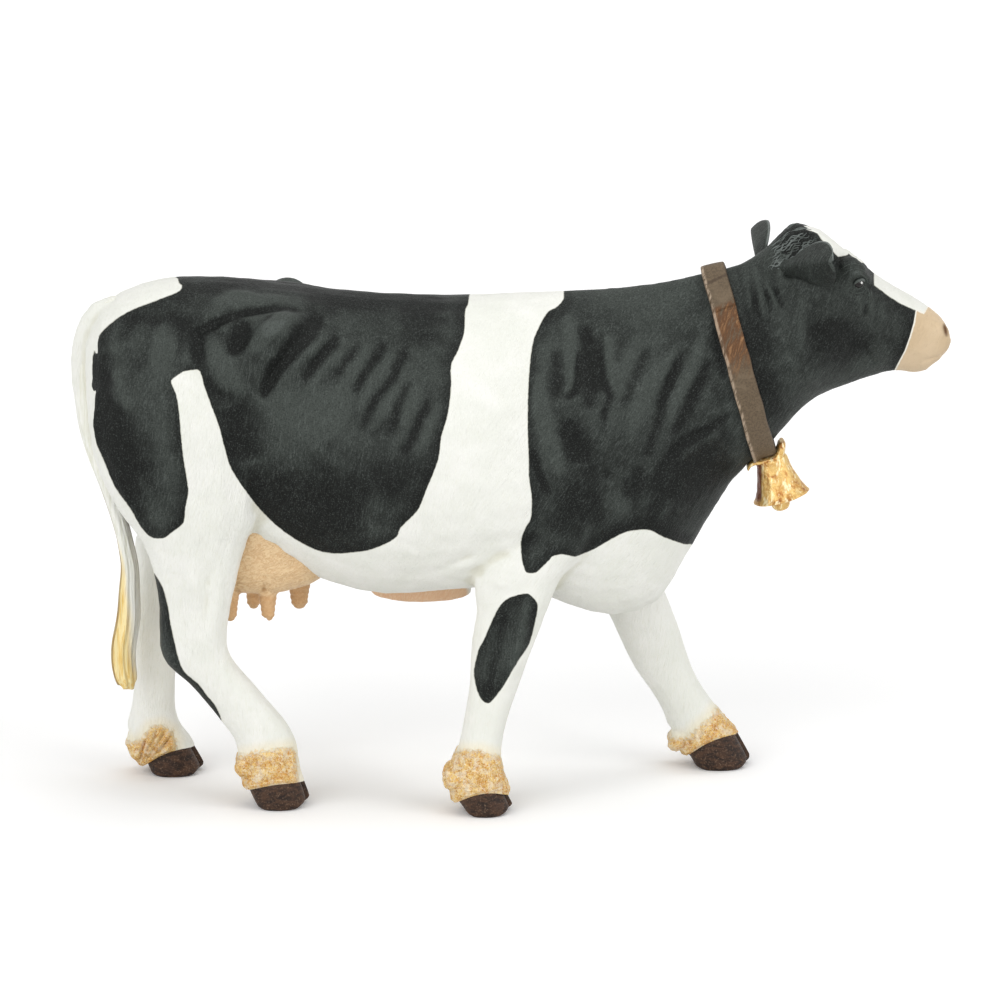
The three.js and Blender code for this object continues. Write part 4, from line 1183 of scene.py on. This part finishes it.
def shag(points, quads, name):
    """The shaggy hair over a hoof, and where its ochre wash lies."""
    leg = LEGS[name]
    twin = points.copy()
    twin[:, 1] = leg.middle - np.abs(points[:, 1] - leg.middle)
    at = screen(twin)
    ochre = inside_by(at, OCHRE[name])
    inner = step(-0.6, 0.5, ochre + 0.5 * noise(points * 0.9, 12))
    tufts = 0.6 * np.abs(noise(points * (1.1, 1.1, 0.8) + 0.5 * noise(points, 16)[:, None], 14))
    tufts = tufts + 0.6 * np.abs(noise(points * (2.9, 2.9, 2.2), 15))
    height = inner * (0.4 * (0.4 - tufts) + 0.3)
    if name == "hind_left_leg":
        height += strokes(at, FAN)
    height *= step(0.05, 0.5, points[:, 2] - coronet(leg, points[:, 0]))
    return points + normals(points, quads) * height[:, None], ochre


def near_rims(count, quads, edges):
    """1 at the open rims of a piece, and less by each point away from them."""
    near = np.zeros(count)
    near[[i for loop in rim_loops(quads) for i in loop]] = 1
    rims = near
    for _ in range(7):
        spread = near.copy()
        for a, b in (edges.T, edges.T[::-1]):
            np.maximum.at(spread, a, near[b] - 0.14)
        near = spread
    return rims, near


def build_body(coats):
    """Cuts the skin into its pieces, and gives each its finer shape, its marks and its shading."""
    points, quads, edges = body_skin()
    points, tone = carve(points, quads, edges)
    label = split_body(points, quads)
    whole = np.column_stack((points, normals(points, quads), crest_of(points, quads, edges, 9) * 9, tone))
    for k, name in enumerate(PIECES):
        values, own_quads = compact(whole, quads[label == k])
        if k:
            values, own_quads = subdivided(values, own_quads)
        own, carried, whole_crest, own_tone = values[:, :3], values[:, 3:6], values[:, 6], values[:, 7]
        own_edges = edges_of(own_quads)
        rims, blend = near_rims(len(own), own_quads, own_edges)
        marks = {"ochre": np.full(len(own), -WELL_IN), "tone": own_tone}
        if k:
            own = smoothed(own, own_edges, 3, 1 - rims)
        if name == "head":
            own = face_detail(own, own_quads)
        if name in LEGS:
            own, marks["ochre"] = shag(own, own_quads, name)
        out = normals(own, own_quads)
        marks["black"], marks["muzzle"] = paint(own, out)
        if name != "head":
            blend = blend * (own[:, 2] > BLEND_ABOVE)
        rounds, strength = (7, 16) if k else (4, 9)
        crest = crest_of(own, own_quads, own_edges, rounds) * strength
        # The crest mark: painted highlight on ridges, painted shade in hollows
        marks["crest"] = whole_crest * 0.8 + crest * (1 - blend)
        shading = out * (1 - blend[:, None]) + carried * blend[:, None]
        shading /= np.linalg.norm(shading, axis=1)[:, None]
        if name == "head":
            marks["nostril"] = stroke(screen(near_twin(own)), NOSTRIL, 2.0)
            face = BVHTree.FromPolygons(own.tolist(), own_quads.tolist())
        if name == "torso":
            marks["crest"] = np.minimum(marks["crest"], TORSO_HIGHLIGHT_MOST)
            low = step(33.2, 32.0, own[:, 2]) * step(3.2, 2.0, np.abs(own[:, 1]))
            marks["flush"] = low * step(-24, -21, own[:, 0]) * step(-6, -9, own[:, 0])
        slot = "leg" if name in LEGS else name
        make_piece(name + "_body", *capped(own, own_quads), coats[slot], slot, [name], marks, shading)
    return BVHTree.FromPolygons(points.tolist(), quads.tolist()), face


# Hooves, ears, eyes, curls, udder, tail, collar and bell

# A claw's half width outside at each share of its height, from the ground to above the coronet
CLAW_HEIGHTS = (0.0, 0.04, 0.12, 0.24, 0.38, 0.52, 0.66, 0.8, 0.92, 1.0, 1.08)
CLAW_WIDTHS = ((0, 0.04, 0.12, 0.4, 0.75, 0.95, 1.08), (3.3, 3.6, 3.78, 3.75, 3.65, 3.55, 3.2))
# The ear: place along, width, thickness and how far it is cupped
EAR_LENGTH = 12
EAR_ROWS = [
    (-0.06, 0.34, 0.9, 0.1), (0, 0.38, 0.95, 0.14), (0.16, 0.52, 0.95, 0.45), (0.34, 0.84, 0.9, 0.85),
    (0.54, 1.02, 0.82, 1.1), (0.74, 0.96, 0.7, 1.1), (0.9, 0.66, 0.55, 0.75), (0.97, 0.38, 0.4, 0.4),
    (1, 0.14, 0.25, 0.2),
]
EARS = {
    "right_ear": ((41.0, -3.0, 83.3), (0.55, -0.8, 0.24)),
    "left_ear": ((37.85, 5.98, 81.9), (-0.08, 0.95, 0.28)),
}
# The eye: where the photograph shows it, its halves, and where it glints
EYE_PIXEL = (858.8, 283.4)
EYE_HALVES = (0.86, 0.55, 0.68)
# The last: where on the ball a painted highlight dot lies
PAINTED_GLINT_AT = (0.2, 0.24)
CURLS_TRIED = 160
UDDER_VOXEL = 0.26
UDDER_GROW = 0.02
# Wrinkles round the eye: radius in millimetres and path in the photograph's pixels
WRINKLES = [
    (0.14, [(847, 281), (850, 277), (855, 274.5), (861, 274.5), (866, 278), (868, 283)]),
    (0.12, [(843, 275), (848, 271), (855, 269), (862, 270), (868, 274)]),
    (0.11, [(841, 269), (848, 265), (856, 264), (863, 266)]),
    (0.12, [(850, 291), (856, 293), (862, 292), (866, 289)]), (0.1, [(868, 288), (869.5, 296), (869, 306)]),
]
# The tail's middle along and up, its half thickness and its half width
TAIL_ROWS = [
    (-57.5, 76.4, 1.3, 1.3), (-61.6, 76.7, 1.62, 1.7), (-64.0, 73.8, 1.66, 1.75), (-65.5, 70.0, 1.6, 1.7),
    (-66.2, 64.8, 1.42, 1.6), (-65.8, 58.8, 1.32, 1.5), (-64.4, 53.2, 1.27, 1.42),
    (-62.5, 48.0, 1.22, 1.35), (-61.1, 43.6, 1.2, 1.32), (-60.1, 39.2, 1.2, 1.35), (-59.4, 35.2, 1.32, 1.5),
    (-59.7, 30.4, 1.6, 1.8), (-60.3, 24.0, 1.8, 1.95), (-60.5, 19.6, 1.75, 1.8), (-60.4, 17.5, 1.5, 1.5),
    (-60.3, 16.2, 0.9, 0.9),
]
# The strap's section: across and out from the neck
COLLAR_SECTION = [
    (-1.9, 0.12), (-1.9, 0.5), (-1.84, 0.68), (-1.68, 0.79), (-1.2, 0.83), (-0.6, 0.85), (0, 0.86),
    (0.6, 0.85), (1.2, 0.83), (1.68, 0.79), (1.84, 0.68), (1.9, 0.5), (1.9, 0.12), (1.0, 0.06), (0, 0.05),
    (-1.0, 0.06),
]
STRAP_HALF = 1.9
STRAP_STEPS = 180
LAP = (58, 119)
LAP_STEPS = 60
THROAT = np.array((38.2, 0, 54.24))
BELL_TOP = THROAT + COLLAR_DOWN * 2.3 + COLLAR_FORWARD * 0.8
# The bell and its clapper as radius and height, and the hanger's path along and up
BELL_OUTLINE = [
    (0.02, 0.98), (1.5, 0.97), (2.2, 0.92), (2.42, 0.7), (2.5, 0.3), (2.64, -0.8), (3.0, -2.3),
    (3.46, -3.7), (3.96, -4.8), (4.3, -5.3), (4.38, -5.46), (4.3, -5.62), (4.0, -5.64), (3.75, -5.42),
    (3.3, -4.8), (2.8, -3.8), (2.4, -2.6), (2.1, -1.4), (1.5, -0.6), (0.02, -0.4),
]
CLAPPER_OUTLINE = [
    (0.02, 1.55), (0.8, 1.4), (1.35, 0.85), (1.52, 0.2), (1.55, 0), (1.52, -0.2), (1.3, -0.85), (0.8, -1.35),
    (0.02, -1.5),
]
STEM_OUTLINE = [(0.45, -4.6), (0.45, -3.4), (0.45, -1.4)]
CLAPPER_MIDDLE = (-0.4, 0, -6.25)
SADDLE = [
    (-3.85, 0.15), (-3.5, 0.75), (-2.9, 1.0), (-2.2, 1.0), (-0.8, 0.85), (0.5, 0.85), (1.2, 1.1),
    (1.75, 1.7), (2.1, 2.4), (2.3, 3.0),
]


def claw_outline(count_out, count_in):
    """Shares along from heel to toe and out from the cleft, round one claw."""
    outer = [(-math.cos(t), 1.0) for t in np.linspace(0, math.pi, count_out)]
    inner = [(math.cos(t), 0.0) for t in np.linspace(0, math.pi, count_in + 2)[1:-1]]
    return np.array(outer + inner).T


def claw(leg, side):
    """One horn claw, rounded at the heel, and cut back in front along the cleft."""
    u, outside = claw_outline(30, 16)
    outside = outside > 0.5
    full = (1 - np.abs(u) ** np.where(u > 0, 2.1, 2.6)) ** (1 / 2.2)
    gap = 0.16 + 0.62 * np.clip((u - 0.25) / 0.75, 0, 1) ** 2
    ground = 0.3 * np.clip((-u - 0.55) / 0.45, 0, 1) ** 2 + 0.5 * np.clip((u - 0.7) / 0.3, 0, 1) ** 2
    tip = (leg.sole[1], leg.toe[0] + 0.3) if side > 0 else (leg.sole[1] - 0.55, leg.toe[0] - 0.1)
    rings = []
    for t, half in zip(CLAW_HEIGHTS, np.interp(CLAW_HEIGHTS, *CLAW_WIDTHS)):
        back = leg.sole[0] + (leg.heel[0] - 0.05 - leg.sole[0]) * min(t, 1) ** 0.8
        front = tip[0] + (tip[1] - tip[0]) * min(t, 1) ** 1.25 - 0.9 * max(0, 1 - t / 0.26) ** 2
        x = (back + front) / 2 + u * (front - back) / 2 * (1 - 0.03 * (t < 0.02))
        ridge = 0.045 * math.sin(t * 23) * (0.1 < t < 0.95)
        y = np.where(outside, gap + (half - gap) * full + ridge, gap)
        z = ground + t * (coronet(leg, x) + 0.05 - ground)
        rings.append(np.column_stack((x, leg.middle + side * y, z)))
    return loft(rings, side < 0)


def ear(root, aim):
    """A leaf-shaped ear, cupped towards the front, with a rolled rim and a hollow inside."""
    aim = unit(np.array(aim))
    wide = unit(UP - aim * aim[2])
    towards = np.cross(aim, wide)
    towards *= math.copysign(1, towards[0])
    across, tall = np.cos(circle(64)), np.sin(circle(64))
    inside = (tall > 0) * (1 - across**2)
    rim = hump(np.abs(across) - 0.93, 0.12)
    edge = hump(np.abs(across) - 0.985, 0.03)
    vein = hump(across - 0.25, 0.2) * (tall < 0)
    rings, crest = [], []
    for along, width, thick, cup in drawn(EAR_ROWS, 8):
        lift = cup * (1.75 * np.abs(across) ** 1.8 - 0.5 * inside + 0.1 * np.sin(across * 9) * (tall > 0))
        lift += thick * (0.62 * tall * (1 + 0.25 * rim) - 0.16 * vein)
        middle = root + aim * along * EAR_LENGTH
        rings.append(middle + np.outer(3.35 * width * across, wide) + np.outer(lift, towards))
        # Painted light: a highlight on the upper rim and tip, painted shade in the cup and lower half
        painted_highlight = 4.8 * edge * (across > 0) * step(0.12, 0.3, along) + 3.0 * (along > 0.96)
        crest.append(painted_highlight - 3.0 * inside - 0.8 * (across < 0))
    return *loft(rings, aim[1] > 0), np.concatenate(crest)


def raised(count, crest):
    """Marks for a small black piece, whose crest mark sets how much painted highlight it gets."""
    away = np.full(count, -WELL_IN)
    return {"black": -away, "muzzle": away, "ochre": away, "crest": np.zeros(count) + crest}


def on_face(face, px, py):
    """The point of the head's near side that the photograph shows at a pixel, and the way out of it."""
    start = place(px, py, -40.0)
    hit, normal, *_ = face.ray_cast(Vector(start), Vector(place(px, py, 40.0) - start).normalized())
    return np.array(hit), np.array(normal)


def nearest(face, point):
    """The skin's nearest point, and the way out of it."""
    hit, normal, *_ = face.find_nearest(Vector(point))
    return np.array(hit), np.array(normal)


def eye_frame(out):
    """Forward, out and up at an eye, as rows."""
    forward = np.cross(UP, out)
    forward *= math.copysign(1, forward[0]) / np.linalg.norm(forward)
    rise = np.cross(out, forward)
    return np.array((forward, out, rise * math.copysign(1, rise[2])))


def build_eyes(face, coat):
    """The two eyes with their lids and wrinkles, set on the skin."""
    ball, ball_faces = ellipsoid(np.zeros(3), EYE_HALVES)
    # How far each point of the ball lies from the painted highlight dot
    painted_glint = np.hypot(ball[:, 0] - PAINTED_GLINT_AT[0], ball[:, 2] - PAINTED_GLINT_AT[1])
    turn = circle(56)
    upper = np.clip(np.sin(turn), 0, 1)
    x = 0.98 * np.cos(turn)
    z = 0.66 * np.sin(turn) * np.abs(np.sin(turn)) ** 0.25 + 0.12 * np.cos(turn)
    lids, lid_faces = tube(np.column_stack((x, 0.3 * (1 - x**2) + 0.05, z)), 0.12 + 0.11 * upper, closed=True)
    # Painted highlight on the lids, most on the upper lid and at the front corner
    painted_shine = 1.8 + 1.6 * upper + 2.4 * np.clip(np.cos(turn) - 0.3, 0, 1)
    painted_shine = np.append(np.repeat(np.append(painted_shine, painted_shine[0]), 12), (0, 0))
    gloss = eye_material()
    near, out = on_face(face, *EYE_PIXEL)
    for side, wrinkles in (("right", WRINKLES), ("left", WRINKLES[3:])):
        if side == "left":
            near, out = nearest(face, mirrored(near[None])[0] - UP * 0.5)
        axes = eye_frame(out)
        facing = 1 if np.linalg.det(axes) < 0 else -1
        back = [face[::facing] for face in ball_faces]
        points = ball @ axes + near + out * 0.03
        make_piece(side + "_eye", points, back, gloss, "head", marks={"painted_glint": painted_glint})
        back = [face[::facing] for face in lid_faces]
        marks = raised(len(lids), painted_shine)
        make_piece(side + "_eyelids", lids @ axes + near, back, coat, "head", marks=marks)
        for i, (radius, pixels) in enumerate(wrinkles, 1 + len(WRINKLES) - len(wrinkles)):
            path = np.array([on_face(face, *pixel)[0] for pixel in drawn(pixels, 6)])
            if side == "left":
                path = np.array([nearest(face, point)[0] for point in mirrored(path)])
            points, faces = tube(path, radius * taper(len(path), 0.12, 0.6), 10)
            # A painted highlight along each wrinkle
            marks = raised(len(points), 2.7)
            make_piece(f"{side}_eye_wrinkle_{i}", points, faces, coat, "head", marks=marks)


def curl(face, start, lean, phase, radius):
    """A fine curved lock, laid on the skin from its start."""
    path = [start]
    for i in range(7):
        angle = lean + 0.75 * math.sin(i * 1.05 + phase)
        way = np.array((math.cos(angle), 0, math.sin(angle)))
        path.append(nearest(face, path[-1] + way * 0.38)[0])
    path = drawn(path, 2)
    return tube(path, radius * taper(len(path), 0.15, 0.5), 6)


def build_curls(face, coat):
    """Fine curved locks over the poll."""
    rng = np.random.default_rng(12)
    locks = []
    for _ in range(CURLS_TRIED):
        px, py = rng.uniform(779, 819), rng.uniform(224, 262)
        behind = py < 222 + 0.9 * max(0, 798 - px) or py > 266 - 0.55 * max(0, px - 790)
        if behind or (px > 812 and py < 232):
            continue
        first, _ = on_face(face, px, py)
        if not first.shape:
            continue
        if rng.uniform() < 0.5:
            first = nearest(face, mirrored(first[None])[0])[0]
        lean = math.radians(218 + 16 * math.sin(px * 0.3 + py * 0.2) + rng.uniform(-12, 12))
        phase = px * 0.5 + rng.uniform(-0.6, 0.6)
        locks.append(curl(face, first, lean, phase, rng.uniform(0.06, 0.105)))
    points, faces = joined(locks)
    # A painted highlight along each lock
    marks = raised(len(points), 4.0 + 1.6 * noise(points * 0.8, 62))
    make_piece("poll_curls", points, faces, coat, "head", marks=marks)


def build_tail(material):
    """The tail down the rump, and its switch of combed strands."""
    rows = drawn(TAIL_ROWS, 9)
    turn = circle(56)
    rings, rear = [], []
    for (x, z, thick, wide), way in ways(rows):
        out = np.cross(LEFT, unit(np.array((way[0], 0, way[1]))))
        hair = float(step(48, 34, z))
        strands = 0.07 * np.sin(turn * 9 + 0.5 * math.sin(z * 0.23)) + 0.06 * np.sin(turn * 17 + z * 0.2 + 1)
        size = 1 + hair * strands + (1 - hair) * 0.035 * np.sin(turn * 6 + z * 0.5)
        ring = np.outer(np.cos(turn) * size * wide, LEFT) + np.outer(np.sin(turn) * size * thick, out)
        rings.append(ring + np.array((x, 0, z)))
        rear.append(np.sin(turn) * math.copysign(1, -out[0]))
    points, faces = loft(rings)
    points[:, 2] += step(22, 16.5, points[:, 2]) * 0.7 * noise(points * (1.1, 1.1, 0.01), 21)
    points[:, 0] += step(46, 20, points[:, 2]) * 0.25 * np.sin(points[:, 2] * 0.5)
    marks = {"rear": np.concatenate(rear)}
    make_piece("tail_and_switch", points, faces, material, "tail", ["tail"], marks)


def build_udder(material):
    """The udder with its teats, wrinkled and blended where they join it."""
    points, faces = node_mesh("udder")
    points += normals(points, faces) * (0.45 * step(34, 37, points[:, 2]))[:, None]
    points[:, 0] += 1.1 * step(-36, -30.5, points[:, 0]) * step(41, 37, points[:, 2])
    points, quads, edges = remeshed([(points, faces)], UDDER_VOXEL, UDDER_GROW)
    points = smoothed(points, edges, 16)
    out = normals(points, quads)
    x, _, z = points.T
    upper = step(31.5, 34, z)
    veins = np.abs(noise(points * (0.3, 0.3, 0.5), 31))
    height = upper * (0.16 * (0.3 - veins) + 0.12 * layered(points * (0.8, 0.8, 1.9), 33, 3))
    height += (1 - upper) * 0.05 * np.sin(z * 7 + 2 * noise(points * 0.6, 35))
    height -= 0.4 * hump(x + 38.6, 0.5) * step(0, -1, out[:, 2])
    points = points + out * height[:, None]
    # The crest mark gives painted shade in the creases
    marks = {"crest": crest_of(points, quads, edges, 6) * 26, "teat": step(33.2, 31.5, points[:, 2])}
    make_piece("udder_and_teats", *capped(points, quads), material, "udder", ["udder"], marks)


def strap_radii(skin):
    """How far the neck reaches from its middle for each angle, and how it widens across the strap."""
    radii = np.zeros((STRAP_STEPS, 5))
    offsets = np.linspace(-STRAP_HALF, STRAP_HALF, 5)
    for i, angle in enumerate(circle(STRAP_STEPS)):
        way = math.cos(angle) * LEFT - math.sin(angle) * COLLAR_DOWN
        for j, offset in enumerate(offsets):
            origin = COLLAR_MIDDLE + offset * COLLAR_FORWARD
            hit, *_ = skin.ray_cast(Vector(origin + way * 50), Vector(-way))
            radii[i, j] = (np.array(hit) - origin) @ way
    kernel = np.array((1, 3, 5, 3, 1)) / 13
    padded = np.concatenate((radii[-2:], radii, radii[:2]))
    radii = np.column_stack([np.convolve(column, kernel, "valid") for column in padded.T])
    slope = (radii @ offsets) / (offsets @ offsets)
    middle = (radii - slope[:, None] * offsets).max(axis=1) * 0.7 + radii.mean(axis=1) * 0.3
    return middle, slope


def strap(reach, angles, lift, shrink, closed):
    """A band with rounded edges round part or all of the neck."""
    rings = []
    for angle in angles:
        i = angle / (2 * math.pi) * STRAP_STEPS
        low, share = int(math.floor(i)) % STRAP_STEPS, i - math.floor(i)
        base, tilt = (values[low] * (1 - share) + values[(low + 1) % STRAP_STEPS] * share for values in reach)
        way = math.cos(angle) * LEFT - math.sin(angle) * COLLAR_DOWN
        wave = 0.04 * math.sin(angle * 7) + 0.03 * math.sin(angle * 13 + 1)
        across, height = np.array(COLLAR_SECTION).T
        across = across * shrink
        out = np.outer(base + tilt * across + height + lift, way)
        rings.append(COLLAR_MIDDLE + np.outer(across + wave, COLLAR_FORWARD) + out)
    return loft(rings, closed=closed)


def build_collar(skin, material):
    """The strap round the neck, and its end lapped over it on the near side."""
    reach = strap_radii(skin)
    across = np.array(COLLAR_SECTION)[:, 0]
    points, faces = strap(reach, circle(STRAP_STEPS), 0.05, 1.0, True)
    marks = {"across": np.tile(across, STRAP_STEPS)}
    sunk = np.clip(marks["across"] + 0.6, 0, None) / 2.5 * step(58.5, 54.5, points[:, 2])
    points += np.outer(sunk * 1.5, COLLAR_DOWN)
    make_piece("collar_strap", points, faces, material, "collar", ["collar"], marks)
    angles = np.linspace(*np.radians(LAP), LAP_STEPS)
    points, faces = strap(reach, angles, 0.42, 0.97, False)
    marks = {"across": np.tile(across, LAP_STEPS)}
    make_piece("collar_lap", points, faces, material, "collar", marks=marks)


def in_bell(points):
    """Points of the bell's own frame, forward, left and up, in the design frame."""
    return BELL_TOP + points @ np.array((COLLAR_FORWARD, LEFT, -COLLAR_DOWN))


def saddle():
    """The hanger, a flat bar bent round the strap's lower end."""
    path = drawn(SADDLE, 6)
    turn = circle(24)
    u = np.sign(np.cos(turn)) * np.abs(np.cos(turn)) ** 0.5
    v = np.sign(np.sin(turn)) * np.abs(np.sin(turn)) ** 0.7
    rings = []
    for share, ((x, z), way) in zip(np.arange(len(path)) / (len(path) - 1), ways(path)):
        way = unit(way)
        thick = np.interp(share, (0, 0.1, 0.5, 0.75, 0.93, 1), (0.16, 0.34, 0.5, 0.7, 0.6, 0.3))
        wide = 2.3 * (1 - 0.3 * abs(2 * share - 1) ** 2.5)
        rings.append(np.column_stack((x - way[1] * thick * v, wide * u, z + way[0] * thick * v)))
    points, faces = loft(rings)
    return points + 0.07 * noise(points * 1.2, 43)[:, None], faces


def build_bell(material, dark):
    """The bell, its hanger and its clapper."""
    points, faces = turned_form(drawn(BELL_OUTLINE, 3))
    out = points * (1, 1, 0)
    out /= np.maximum(np.linalg.norm(out, axis=1), 0.3)[:, None]
    points = points + out * (0.12 * noise(points * 0.8, 41) + 0.05 * noise(points * 1.9, 42))[:, None]
    x, _, z = points.T
    # The wash mark is painted shade: a dark stripe down the bell's left side, above the rim
    marks = {"wash": step(0.1, -0.1, x - 0.272 * z + 1.76) * step(-5.2, -4.6, z)}
    make_piece("bell_body", in_bell(points), faces, material, "bell", ["bell"], marks)
    points, faces = saddle()
    make_piece("bell_saddle", in_bell(points), faces, material, "bell")
    points, faces = turned_form(drawn(CLAPPER_OUTLINE, 4), (1, 0.75))
    make_piece("bell_clapper", in_bell(points + CLAPPER_MIDDLE), faces, material, "bell", ["clapper"])
    points, faces = turned_form(STEM_OUTLINE)
    make_piece("bell_clapper_stem", in_bell(points), faces, dark, "bell")


def build_small_parts(skin, face, coat):
    horn = horn_material()
    for name, leg in LEGS.items():
        points, faces = joined(claw(leg, side) for side in (-1, 1))
        make_piece(name.replace("leg", "hoof"), points, faces, horn, "leg")
    for name, (root, aim) in EARS.items():
        points, faces, crest = ear(root, aim)
        marks = raised(len(points), 0.0) | {"crest": crest}
        make_piece(name + "_leaf", points, faces, coat, "ear", [name], marks)
    build_eyes(face, coat)
    build_curls(face, coat)
    build_udder(pink_material())
    build_tail(tail_material())
    build_collar(skin, strap_material())
    build_bell(gold_material(), dark_material())


add_camera()
bpy.context.scene.view_settings.view_transform = "Standard"
coats = {
    "torso": coat_material("painted_coat_body", 58, 78),
    "head": coat_material("painted_coat_head", 66, 66),
    "leg": coat_material("painted_coat_legs", 80, 86),
}
skin, face = build_body(coats)
build_small_parts(skin, face, coats["head"])
add_light("key", (-0.6, -0.8, 0.45), 55, 1.32)
add_light("fill", (0.8, -0.5, 0.45), 40, 0.95)
add_light("top", (0.2, 0.1, 1.0), 38, 0.66)
add_world()
add_floor()
